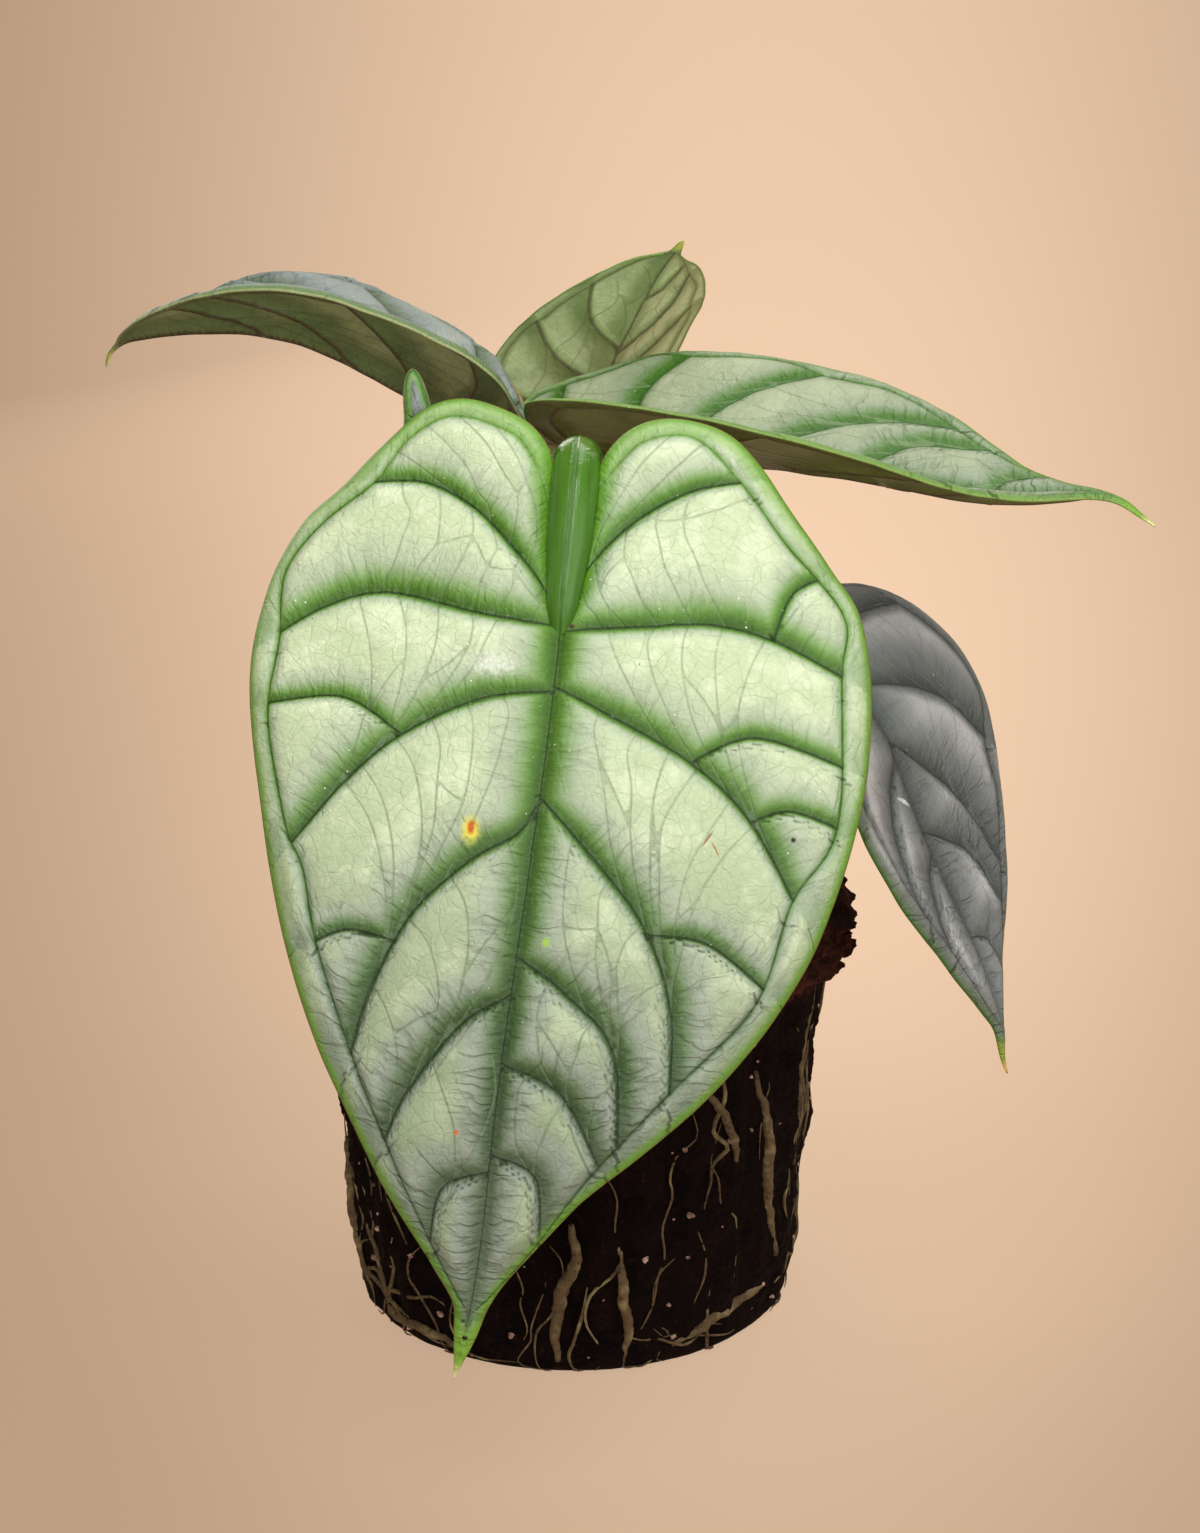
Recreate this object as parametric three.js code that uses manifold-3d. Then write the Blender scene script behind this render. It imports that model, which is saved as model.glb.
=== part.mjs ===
// Silver dragon alocasia: six leaves on their stalks, rising from a short stem in a bare root ball.
// Millimetres, +Z up. The origin is the middle of the root ball's flat base, and the front leaf faces -Y.

import * as THREE from "three";
import Module from "manifold-3d";

// Root ball: the soil plug that a round nursery pot leaves, with a crumbly ledge at its top
const ballBaseRadius = 45;
const ballTaper = 0.085; // growth of the radius for each millimetre of height
const ledgeStart = 75;
const ledgeRadius = 56;
const ballHeight = 88;
const baseRounding = 2;
const ribDepth = 0.55;
const crumbDepth = 1.3;
const ballSides = 64;

// Stem base that the stalks rise from
const stemRadius = 13;
const stemFoot = 78;
const stemTop = 99;
const stalkRing = 7.5; // radius of the circle on which the stalks start
const stalkFoot = 91;

const clearance = 0.35; // between pieces that touch
const bladeThickness = 0.9;
const rootSides = 6;
const stalkSides = 10;
const stalkSteps = 11;

// The front leaf laid flat, as [across, along] from the stalk: its tip is at [0, 142]
const tipReach = 142;
const leafPlan = {
  leftEdge: [
    [0, 0], [-3.4, -2], [-4.6, -9], [-5.2, -20], [-5.8, -31], [-9, -38], [-15, -42], [-23, -44],
    [-30, -42], [-37, -35], [-45, -26], [-52, -19], [-57, -8], [-59, 6], [-58, 18], [-55, 31],
    [-50, 47], [-44, 64], [-35, 82], [-26, 96], [-16, 111], [-8, 121], [-3.4, 127], [-2, 133],
    [0, tipReach],
  ],
  rightEdge: [
    [0, 0], [3.4, -2], [4.6, -9], [5.2, -20], [5.6, -30], [8, -37], [13, -41], [20, -42],
    [28, -40], [34, -35], [41, -26], [49, -16], [55, -8], [58, 4], [59, 18], [58, 31],
    [55, 47], [51, 60], [44, 74], [36, 86], [26, 97], [16, 107], [7, 119], [3.4, 126],
    [2, 133], [0, tipReach],
  ],
  midrib: [[0, 0], [0, 70], [0, 138]],
  laterals: [
    [[-1, -1], [-4, -6], [-9, -12], [-18, -21], [-28, -26], [-38, -26]],
    [[-1, 2], [-15, 0], [-33, -4], [-45, -1], [-54, 5]],
    [[0, 15], [-13, 17], [-27, 25], [-36, 35], [-44, 48]],
    [[0, 36], [-3, 42], [-11, 48], [-20, 59], [-25, 73], [-27, 86]],
    [[0, 71], [-8, 77], [-16, 90], [-19, 99]],
    [[0, 102], [-8, 106], [-9, 117]],
    [[1, -1], [4, -10], [12, -20], [22, -27], [32, -30]],
    [[1, 3], [13, 1], [28, -1], [40, 1], [53, 6]],
    [[0, 14], [10, 18], [26, 25], [38, 34], [48, 48]],
    [[0, 35], [9, 43], [21, 55], [28, 69], [30, 86]],
    [[0, 64], [9, 69], [19, 78], [22, 96]],
    [[0, 83], [11, 87], [19, 99]],
    [[0, 99], [8, 102], [10, 112]],
  ],
  branches: [
    [[-27, 25], [-39, 18], [-54, 20]],
    [[-22, 64], [-31, 63], [-38, 67]],
    [[39, 0], [42, -9], [48, -13]],
    [[26, 25], [37, 19], [54, 22]],
    [[38, 34], [45, 31], [55, 33]],
    [[22, 57], [33, 57], [45, 64]],
  ],
  collecting: [
    [[-6, -30], [-12, -37], [-24, -41], [-33, -36], [-38, -27], [-48, -19], [-55, -9], [-54, 5],
      [-54, 24], [-47, 45], [-42, 53], [-37, 67], [-27, 86], [-19, 100], [-9, 117], [-1, 127]],
    [[6, -30], [12, -37], [22, -39], [32, -30], [41, -19], [53, -6], [53, 6], [55, 33],
      [48, 48], [44, 67], [30, 86], [18, 102], [8, 118], [1, 127]],
  ],
};

// Relief of the front blade; on a smaller leaf these widths shrink with the leaf
const marginRoll = 3; // the outer strip of the blade that turns back
const rollDrop = 0.7;
const swellWidth = 3.5; // how far from a vein a panel reaches most of its height
const edgeFade = 3; // where the swelling dies out
const collectingShare = 1.6; // the vein near the edge sinks a panel less than the others

// How each leaf hangs. Stations are shares of the length; the angles at them are in degrees. Heading turns
// the midrib from -Y towards +X, dive tips it down, sweep turns it within the blade and roll turns the blade
// about it. Fold and curl, in degrees and degrees per millimetre, raise each half of the blade. Seat, in
// millimetres, raises the end of the stalk to the swollen blade above it.
const leaves = [
  {
    name: "front",
    joint: [-1.6, -46, 155],
    scale: { across: 1, along: 1, lobes: 1 },
    stations: [-0.35, 0, 0.25, 0.5, 0.75, 0.93, 1],
    heading: -3,
    dive: [56, 54, 57, 66, 78, 88, 90],
    sweep: [-3, -3, -6, -7, -5, -12, -16],
    roll: 0,
    fold: [-2, -2],
    curl: [-0.24, -0.24],
    puff: 2.8,
    step: 4.9,
    stalk: [[1, -8, 115], [1.8, -9.6, 140], [2.2, -11.2, 158], [2.2, -13.6, 170], [1.8, -18, 177.5],
      [1.2, -24.6, 180], [0.8, -30.4, 176.9], [0.2, -35, 171.8], [-0.7, -40.9, 163.6], [-1.5, -45.7, 156.8]],
    stalkRadii: [3.3, 3.6, 4, 4.4, 4.6, 4.7, 4.7, 4.7, 4.6, 3.8, 2.1],
    stalkAngle: -90,
    stalkSteps: 22,
    stalkInNotch: true,
    colour: "#a9bf93",
  },
  {
    name: "left_upper",
    joint: [-24.9, 16, 181.4],
    scale: { across: 0.55, along: 0.57, lobes: 0.36 },
    mirrored: true,
    stations: [-0.35, 0, 0.3, 0.6, 0.85, 0.95, 1],
    heading: -89.4,
    dive: [-27, -32, -27, 0, 14, 52, 70],
    sweep: [-3, -3, 0, -5, -25, -34, -34],
    roll: 0,
    fold: [27.5, 29.5],
    curl: [-0.45, 0.08],
    puff: 1.4,
    step: 5.6,
    stalk: [[-9, 8, 120], [-15, 12.5, 146], [-22, 15.3, 168]],
    stalkRadii: [3.2, 2.9, 2.6, 2.3, 2],
    stalkAngle: 150,
    seat: 0.4,
    colour: "#7f8c86",
  },
  {
    name: "back",
    joint: [4.8, 64, 177],
    scale: { across: 0.447, along: 0.382, lobes: 0.4 },
    stations: [-0.35, 0, 0.3, 0.6, 0.85, 0.95, 1],
    heading: 60,
    dive: [-71, -71, -51, -51, -37, -45, -45],
    sweep: [-2, -2, -21, -21, -30, -30, -30],
    roll: -14.6,
    fold: [25, 10.6],
    curl: [0.17, 0.05],
    puff: 1.1,
    step: 5.2,
    stalk: [[0.5, 13, 118], [1.5, 28, 143], [3.5, 46, 160], [5.5, 56, 168]],
    stalkRadii: [3.2, 2.9, 2.5, 2.2, 1.9],
    stalkAngle: 90,
    seat: 0.3,
    colour: "#75885f",
  },
  {
    name: "right_upper",
    joint: [8.3, 24, 173.5],
    scale: { across: 0.6, along: 0.8, lobes: 0.22 },
    stations: [-0.35, 0, 0.3, 0.6, 0.85, 0.95, 1],
    heading: 71,
    dive: [-1, -2, 3, 9, -13, 27, 30],
    sweep: [-10, -10, 0, 0, -4, -11, -11],
    roll: 13.6,
    fold: [21.7, 19.3],
    curl: [1.03, -0.27],
    puff: 1.5,
    step: 5.8,
    stalk: [[7, 7, 115], [7.5, 13, 138], [8, 20, 158]],
    stalkRadii: [3.2, 3, 2.8, 2.5, 2.1],
    stalkAngle: 30,
    seat: 1.15,
    colour: "#8fa37c",
  },
  {
    name: "right_lower",
    joint: [46.5, -5, 136],
    scale: { across: 0.6, along: 0.66, lobes: 0.55 },
    stations: [-0.35, 0, 0.3, 0.6, 0.85, 0.95, 1],
    heading: 63,
    dive: [11, 19, 69, 60, 67, 82, 60],
    sweep: [0, 0, 0, 0, -3, -3, -3],
    roll: 5,
    fold: [1, 7],
    curl: [0.63, 0.2],
    puff: 1.5,
    step: 5.6,
    stalk: [[12, -6, 108], [24, -7, 122], [36, -6, 129.5]],
    stalkRadii: [3.2, 2.9, 2.6, 2.3, 2],
    stalkAngle: -30,
    seat: 0,
    colour: "#7b7f81",
  },
  {
    name: "left_inner",
    joint: [-22.5, -23, 167],
    scale: { across: 0.34, along: 0.45, lobes: 0.52 },
    mirrored: true,
    stations: [-0.35, 0, 0.3, 0.6, 0.85, 0.95, 1],
    heading: -8,
    dive: [66, 68, 72, 76, 80, 72, 64],
    sweep: 0,
    roll: 0,
    fold: [6, 6],
    curl: [0.1, 0.1],
    puff: 1,
    step: 5.2,
    stalk: [[-10, -8, 114], [-15, -12, 136], [-19.5, -15.5, 153]],
    stalkRadii: [3, 2.7, 2.4, 2.1, 1.8],
    stalkAngle: -150,
    seat: 0.35,
    colour: "#869289",
  },
];

// Roots that lie on the side of the ball: [degrees from -Y towards +X, height] along each, and their radius
const roots = [
  { at: [[0, 34], [1, 26], [-2, 20], [-4, 14], [-4, 4]], radius: 1.5 },
  { at: [[11, 28], [12, 19], [14, 10], [13, 4]], radius: 1.2 },
  { at: [[26, 4], [35, 7], [47, 9], [58, 10]], radius: 1.3 },
  { at: [[47, 60], [52, 46], [56, 30], [62, 15]], radius: 1.3 },
  { at: [[29, 62], [34, 57], [38, 50], [41, 43]], radius: 1 },
  { at: [[-74, 38], [-72, 24], [-69, 9]], radius: 1.3 },
  { at: [[-61, 8], [-52, 4], [-42, 5], [-30, 3.5]], radius: 1.1 },
  { at: [[100, 66], [106, 50], [103, 33], [109, 16], [120, 6]], radius: 1.4 },
  { at: [[150, 58], [143, 42], [146, 24], [138, 8]], radius: 1.3 },
  { at: [[-105, 70], [-110, 52], [-106, 36], [-113, 20], [-110, 5]], radius: 1.4 },
  { at: [[-150, 46], [-144, 30], [-150, 16], [-160, 6], [-172, 4]], radius: 1.3 },
  { at: [[178, 64], [172, 50], [176, 36], [168, 24]], radius: 1.1 },
];

const degrees = THREE.MathUtils.degToRad;
const wasm = await Module();
wasm.setup();

function colouredMesh(name, geometry, colour, roughness) {
  geometry.computeVertexNormals();
  const material = new THREE.MeshStandardMaterial({ color: colour, roughness, metalness: 0 });
  const mesh = new THREE.Mesh(geometry, material);
  mesh.name = name;
  return mesh;
}

function geometryFrom(vertices, triangles) {
  const geometry = new THREE.BufferGeometry();
  geometry.setAttribute("position", new THREE.Float32BufferAttribute(vertices.flat(), 3));
  geometry.setIndex(triangles.flat());
  return geometry;
}

// Joining and cutting closed meshes

function solidFrom(geometry) {
  return new wasm.Manifold(
    new wasm.Mesh({
      numProp: 3,
      vertProperties: new Float32Array(geometry.getAttribute("position").array),
      triVerts: new Uint32Array(geometry.index.array),
    }),
  );
}

function geometryOf(solid) {
  const mesh = solid.getMesh();
  const geometry = new THREE.BufferGeometry();
  geometry.setAttribute("position", new THREE.BufferAttribute(mesh.vertProperties, 3));
  geometry.setIndex(new THREE.BufferAttribute(mesh.triVerts, 1));
  return geometry;
}

function cut(geometry, tools) {
  return geometryOf(tools.reduce((body, tool) => body.subtract(solidFrom(tool)), solidFrom(geometry)));
}

// A closed body from rings of equal count, stacked along the body, with a point to close each end
function ringBody(rings, first, last) {
  const sides = rings[0].length;
  const vertices = [...rings.flat(), first, last];
  const firstIndex = vertices.length - 2;
  const lastIndex = vertices.length - 1;
  const triangles = [];
  for (let side = 0; side < sides; side++) {
    const next = (side + 1) % sides;
    triangles.push([firstIndex, next, side]);
    for (let ring = 0; ring + 1 < rings.length; ring++) {
      const low = ring * sides;
      const high = low + sides;
      triangles.push([low + side, low + next, high + next]);
      triangles.push([low + side, high + next, high + side]);
    }
    const top = (rings.length - 1) * sides;
    triangles.push([top + side, top + next, lastIndex]);
  }
  return geometryFrom(vertices, triangles);
}

// A round tube along a smooth curve, its radius blended between the given ones. Reach lengthens both ends.
function taperedTube(points, radii, sides, steps, reach = 0) {
  const curve = new THREE.CatmullRomCurve3(points.map((p) => new THREE.Vector3(...p)));
  const frames = curve.computeFrenetFrames(steps, false);
  const rings = [];
  const ends = [];
  for (let step = 0; step <= steps; step++) {
    const share = step / steps;
    const radius = blended(radii, share);
    const centre = curve.getPointAt(share);
    const beyond = share === 0 ? -reach : share === 1 ? reach : 0;
    centre.addScaledVector(frames.tangents[step], beyond);
    const ring = [];
    for (let side = 0; side < sides; side++) {
      const turn = (2 * Math.PI * side) / sides;
      const offset = frames.normals[step].clone().multiplyScalar(Math.cos(turn) * radius);
      offset.addScaledVector(frames.binormals[step], Math.sin(turn) * radius);
      ring.push(centre.clone().add(offset).toArray());
    }
    rings.push(ring);
    ends.push(centre.toArray());
  }
  return ringBody(rings, ends[0], ends.at(-1));
}

function blended(values, share) {
  const place = share * (values.length - 1);
  const index = Math.min(Math.floor(place), values.length - 2);
  return THREE.MathUtils.lerp(values[index], values[index + 1], place - index);
}

// The leaf in space

function stationValue(leaf, table, along) {
  if (!Array.isArray(table)) return table;
  const share = along / leaf.length;
  const { stations } = leaf;
  if (share <= stations[0]) return table[0];
  for (let i = 1; i < stations.length; i++) {
    if (share <= stations[i]) {
      const part = (share - stations[i - 1]) / (stations[i] - stations[i - 1]);
      return THREE.MathUtils.lerp(table[i - 1], table[i], part);
    }
  }
  return table[table.length - 1];
}

// Directions at a place on the midrib: along it, across the blade and out of its upper face
function leafFrame(leaf, along) {
  const heading = degrees(stationValue(leaf, leaf.heading, along));
  const dive = degrees(stationValue(leaf, leaf.dive, along));
  const sweep = degrees(stationValue(leaf, leaf.sweep, along));
  const roll = degrees(stationValue(leaf, leaf.roll, along));
  const forward = new THREE.Vector3(
    Math.sin(heading) * Math.cos(dive),
    -Math.cos(heading) * Math.cos(dive),
    -Math.sin(dive),
  );
  const level = new THREE.Vector3(Math.cos(heading), Math.sin(heading), 0);
  const upright = forward.clone().cross(level);
  forward.applyAxisAngle(upright, sweep);
  const across = level.applyAxisAngle(upright, sweep).applyAxisAngle(forward, roll);
  const out = forward.clone().cross(across);
  return { forward, across, out };
}

// Places along the midrib, a millimetre apart, by walking from the stalk to the tip and to the lobes
function walkMidrib(leaf) {
  const places = new Map([[0, new THREE.Vector3(...leaf.joint)]]);
  const forwardSteps = Math.ceil(leaf.length) + 1;
  const backSteps = Math.ceil(leaf.length * 0.4);
  for (let i = 0; i < forwardSteps; i++) {
    places.set(i + 1, places.get(i).clone().add(leafFrame(leaf, i + 0.5).forward));
  }
  for (let i = 0; i > -backSteps; i--) {
    places.set(i - 1, places.get(i).clone().sub(leafFrame(leaf, i - 0.5).forward));
  }
  return places;
}

function midribPlace(leaf, along) {
  const low = Math.floor(along);
  return leaf.places.get(low).clone().lerp(leaf.places.get(low + 1), along - low);
}

// The point of the leaf at a place of its flat plan, raised off the blade by height
function leafPoint(leaf, across, along, height) {
  const frame = leafFrame(leaf, along);
  const side = across > 0 ? 1 : 0;
  const reach = Math.abs(across);
  const fold = degrees(leaf.fold[side]);
  const curl = degrees(leaf.curl[side]);
  const slope = fold + curl * reach;
  const outward = ((Math.sin(slope) - Math.sin(fold)) / curl) * (side ? 1 : -1);
  const lift = (Math.cos(fold) - Math.cos(slope)) / curl;
  const normal = frame.out.clone().multiplyScalar(Math.cos(slope));
  normal.addScaledVector(frame.across, Math.sin(slope) * (side ? -1 : 1));
  return midribPlace(leaf, along)
    .addScaledVector(frame.across, outward)
    .addScaledVector(frame.out, lift)
    .addScaledVector(normal, height)
    .toArray();
}

// The flat plan of a leaf

function scaledPlan(leaf) {
  const { across, along, lobes } = leaf.scale;
  const flip = leaf.mirrored ? -1 : 1;
  const place = ([a, b]) => new THREE.Vector2(a * across * flip, b * (b > 0 ? along : lobes));
  const line = (points) => new THREE.SplineCurve(points.map(place));
  const left = line(leafPlan.leftEdge);
  const right = line(leafPlan.rightEdge);
  return {
    edges: leaf.mirrored ? [right, left] : [left, right],
    veins: [leafPlan.midrib, ...leafPlan.laterals, ...leafPlan.branches].map(line),
    collecting: leafPlan.collecting.map(line),
  };
}

function spaced(curve, step) {
  return curve.getSpacedPoints(Math.max(1, Math.round(curve.getLength() / step)));
}

// The outline as one closed loop that runs down the left edge and back up the right one
function outlineLoop(plan, step) {
  const down = spaced(plan.edges[0], step);
  const up = spaced(plan.edges[1], step).reverse();
  return [...down, ...up.slice(1, -1)];
}

function distanceToLine(point, line) {
  let least = Infinity;
  for (let i = 0; i + 1 < line.length; i++) {
    const run = line[i + 1].clone().sub(line[i]);
    const share = THREE.MathUtils.clamp(point.clone().sub(line[i]).dot(run) / run.lengthSq(), 0, 1);
    least = Math.min(least, point.distanceTo(line[i].clone().addScaledVector(run, share)));
  }
  return least;
}

function isInside(point, loop) {
  let inside = false;
  loop.forEach((a, i) => {
    const b = loop[(i + 1) % loop.length];
    const crosses = a.y > point.y !== b.y > point.y;
    if (crosses && point.x < a.x + ((point.y - a.y) * (b.x - a.x)) / (b.y - a.y)) inside = !inside;
  });
  return inside;
}

// Points of the plan: the outline first, then points along the veins and a fill between them.
// Spacing and least distances are shares of the step.
const veinSpacing = 0.72;
const room = { edge: 0.55, vein: 0.5, collecting: 0.6, fill: 0.78 };

function planPoints(plan, loop, step) {
  const points = [...loop];
  const closedLoop = [...loop, loop[0]];
  const add = (point, least) => {
    if (!isInside(point, loop) || distanceToLine(point, closedLoop) < room.edge * step) return;
    if (points.every((other) => other.distanceTo(point) > least * step)) points.push(point);
  };
  plan.veins.forEach((vein) => spaced(vein, veinSpacing * step).forEach((point) => add(point, room.vein)));
  plan.collecting.forEach((vein) => spaced(vein, step).forEach((point) => add(point, room.collecting)));
  const box = new THREE.Box2().setFromPoints(loop);
  const rise = step * Math.sin(Math.PI / 3);
  for (let row = 0; box.min.y + row * rise < box.max.y; row++) {
    for (let x = box.min.x + (row % 2) * (step / 2); x < box.max.x; x += step) {
      add(new THREE.Vector2(x, box.min.y + row * rise), room.fill);
    }
  }
  return points;
}

// Delaunay triangles of the points, one point at a time, kept where they lie inside the outline
function planTriangles(points, loop) {
  const far = 5000;
  const all = [...points, ...[[-far, -far], [far, -far], [0, far]].map((p) => new THREE.Vector2(...p))];
  const count = points.length;
  let triangles = [circled(all, [count, count + 1, count + 2])];
  points.forEach((point, index) => {
    const hit = triangles.filter((t) => t.centre.distanceToSquared(point) < t.radiusSq);
    const rim = new Map();
    for (const { corners } of hit) {
      corners.forEach((from, i) => {
        const to = corners[(i + 1) % 3];
        if (!rim.delete(`${to} ${from}`)) rim.set(`${from} ${to}`, [from, to]);
      });
    }
    triangles = triangles.filter((t) => !hit.includes(t));
    rim.forEach(([from, to]) => triangles.push(circled(all, [from, to, index])));
  });
  return triangles
    .map((t) => t.corners)
    .filter((corners) => corners.every((corner) => corner < count))
    .filter((corners) => isInside(middle(corners.map((corner) => points[corner])), loop));
}

function middle(corners) {
  return corners.reduce((sum, p) => sum.add(p), new THREE.Vector2()).divideScalar(3);
}

function circled(points, corners) {
  const [a, b, c] = corners.map((corner) => points[corner]);
  const u = b.clone().sub(a);
  const v = c.clone().sub(a);
  const twice = 2 * u.cross(v);
  const centre = new THREE.Vector2(
    a.x + (v.y * u.lengthSq() - u.y * v.lengthSq()) / twice,
    a.y + (u.x * v.lengthSq() - v.x * u.lengthSq()) / twice,
  );
  return { corners, centre, radiusSq: centre.distanceToSquared(a) };
}

// Quilting: the panels swell between the sunken veins, and the outer strip turns back
function bladeRelief(leaf, plan, lines, point) {
  const size = leaf.scale.across;
  const near = (group) => Math.min(...group.map((line) => distanceToLine(point, line)));
  const fromVein = Math.min(near(lines.veins), near(lines.collecting) * collectingShare);
  const swell = leaf.puff * (1 - Math.exp(-fromVein / (swellWidth * size)));
  const fromEdge = near(lines.edges);
  const rolled = THREE.MathUtils.clamp(1 - fromEdge / (marginRoll * size), 0, 1);
  return swell * Math.min(1, fromEdge / (edgeFade * size)) - rollDrop * rolled * rolled;
}

function bladeGeometry(leaf) {
  const plan = scaledPlan(leaf);
  const loop = outlineLoop(plan, leaf.step);
  const points = planPoints(plan, loop, leaf.step);
  const triangles = planTriangles(points, loop);
  const fine = (curve) => curve.getPoints(40);
  const lines = {
    veins: plan.veins.map(fine),
    collecting: plan.collecting.map(fine),
    edges: [[...loop, loop[0]]],
  };
  const vertices = [];
  for (const face of [0.5, -0.5]) {
    for (const point of points) {
      const height = bladeRelief(leaf, plan, lines, point) + face * bladeThickness;
      vertices.push(leafPoint(leaf, point.x, point.y, height));
    }
  }
  const under = points.length;
  const faces = [];
  for (const [a, b, c] of triangles) {
    faces.push([a, c, b], [under + a, under + b, under + c]);
  }
  for (const [from, to] of rimEdges(triangles)) {
    faces.push([from, to, under + to], [from, under + to, under + from]);
  }
  return geometryFrom(vertices, faces);
}

function rimEdges(triangles) {
  const open = new Map();
  for (const corners of triangles) {
    corners.forEach((from, i) => {
      const to = corners[(i + 1) % 3];
      if (!open.delete(`${to} ${from}`)) open.set(`${from} ${to}`, [from, to]);
    });
  }
  return [...open.values()];
}

// Stalks

function stalkStart(leaf) {
  const turn = degrees(leaf.stalkAngle);
  return [stalkRing * Math.cos(turn), stalkRing * Math.sin(turn), stalkFoot];
}

// Where a stalk meets its blade: the front one lies in the notch, the others end under the midrib
function stalkEnd(leaf) {
  if (leaf.stalkInNotch) return [];
  const depth = bladeThickness / 2 + 2 * clearance + leaf.stalkRadii.at(-1) - leaf.seat;
  return [midribPlace(leaf, 0).addScaledVector(leafFrame(leaf, 0).out, -depth).toArray()];
}

function stalkGeometry(leaf, extra = 0) {
  const route = [stalkStart(leaf), ...leaf.stalk, ...stalkEnd(leaf)];
  const radii = leaf.stalkRadii.map((radius) => radius + extra);
  return taperedTube(route, radii, stalkSides, leaf.stalkSteps ?? stalkSteps, extra);
}

// Stem base, a squat body of revolution with a hole for each stalk
function stemRings(extra) {
  const profile = [
    [0.72, stemFoot], [0.95, stemFoot + 5], [1, stemFoot + 12], [0.96, stemTop - 4], [0.8, stemTop - 1.2],
    [0.55, stemTop],
  ];
  const sides = 24;
  const rings = profile.map(([share, height], index) => {
    const z = height - (index === 0 ? extra : 0);
    return Array.from({ length: sides }, (_, side) => {
      const turn = (2 * Math.PI * side) / sides;
      const radius = stemRadius * share + extra;
      return [radius * Math.cos(turn), radius * Math.sin(turn), z];
    });
  });
  return ringBody(rings, [0, 0, stemFoot - extra], [0, 0, stemTop + 0.4 + extra]);
}

function stemGeometry() {
  return cut(stemRings(0), leaves.map((leaf) => stalkGeometry(leaf, clearance)));
}

// Root ball

function ballRadius(turn, z) {
  const plain = ballBaseRadius + ballTaper * z;
  const ribs = Math.sin(13 * turn + 1) + 0.8 * Math.sin(29 * turn + 0.03 * z) + Math.sin(0.21 * z + 3 * turn);
  return plain + ribDepth * ribs * Math.min(1, z / 6);
}

// Loose soil at the ledge, lumpy round the ball
function crumbs(turn, z) {
  const wide = Math.sin(5 * turn + 0.7 * z) + Math.sin(11 * turn - 1.3 * z + 2);
  return crumbDepth * (0.6 * wide + 0.8 * Math.sin(23 * turn + 2.1 * z) * Math.sin(3 * turn + z));
}

// Height of the soil's uneven top
function soilHeight(x, y) {
  const lumps = Math.sin(0.31 * x + 1) * Math.sin(0.27 * y) + 0.6 * Math.sin(0.53 * x - 0.47 * y);
  return ballHeight + 0.8 * lumps;
}

function ballRing(radiusAt, heightAt) {
  return Array.from({ length: ballSides }, (_, side) => {
    const turn = (2 * Math.PI * side) / ballSides;
    const x = radiusAt(turn) * Math.cos(turn);
    const y = radiusAt(turn) * Math.sin(turn);
    return [x, y, heightAt(x, y)];
  });
}

function ballBody() {
  const wall = [2, 6, 14, 23, 33, 43, 53, 62, 69, ledgeStart];
  const ledge = [[ledgeRadius, ledgeStart + 3], [ledgeRadius + 0.6, ledgeStart + 8]];
  const top = [ledgeRadius - 2, 45, 34, 22];
  const rings = [
    ballRing(() => ballBaseRadius - baseRounding, () => 0),
    ...wall.map((z) => ballRing((turn) => ballRadius(turn, z), () => z)),
    ...ledge.map(([radius, z]) => ballRing((turn) => radius + crumbs(turn, z), () => z)),
    ...top.map((radius) => ballRing(() => radius, soilHeight)),
  ];
  return ringBody(rings, [0, 0, 0], [0, 0, soilHeight(0, 0)]);
}

function rootGeometry(root, extra = 0) {
  const points = root.at.map(([angle, z]) => {
    const turn = degrees(angle - 90);
    const radius = ballRadius(turn, z);
    return [radius * Math.cos(turn), radius * Math.sin(turn), z];
  });
  const tip = root.radius * 0.6 + extra;
  const radii = [tip, root.radius + extra, root.radius + extra, tip];
  return taperedTube(points, radii, rootSides, 2 * (points.length - 1), extra);
}

function ballGeometry() {
  return cut(ballBody(), [stemRings(clearance), ...roots.map((root) => rootGeometry(root, clearance))]);
}

// The whole plant

for (const leaf of leaves) {
  leaf.length = tipReach * leaf.scale.along;
  leaf.places = walkMidrib(leaf);
}

const plant = new THREE.Group();
plant.add(colouredMesh("root_ball", ballGeometry(), "#2a1a14", 0.95));
roots.forEach((root, index) => {
  plant.add(colouredMesh(`root_${index + 1}`, rootGeometry(root), "#8a7350", 0.8));
});
plant.add(colouredMesh("stem_base", stemGeometry(), "#6f7d45", 0.6));
for (const leaf of leaves) {
  plant.add(colouredMesh(`stalk_${leaf.name}`, stalkGeometry(leaf), "#5b8a34", 0.45));
  plant.add(colouredMesh(`blade_${leaf.name}`, bladeGeometry(leaf), leaf.colour, 0.5));
}

export default plant;
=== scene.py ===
# Looks of a silver dragon alocasia that stands on its bare root ball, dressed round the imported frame.
# Lengths are in millimetres until a mesh is made, and the origin is the middle of the root ball's base.

import math

import bpy
import numpy as np
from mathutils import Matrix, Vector, geometry, kdtree, noise


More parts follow.
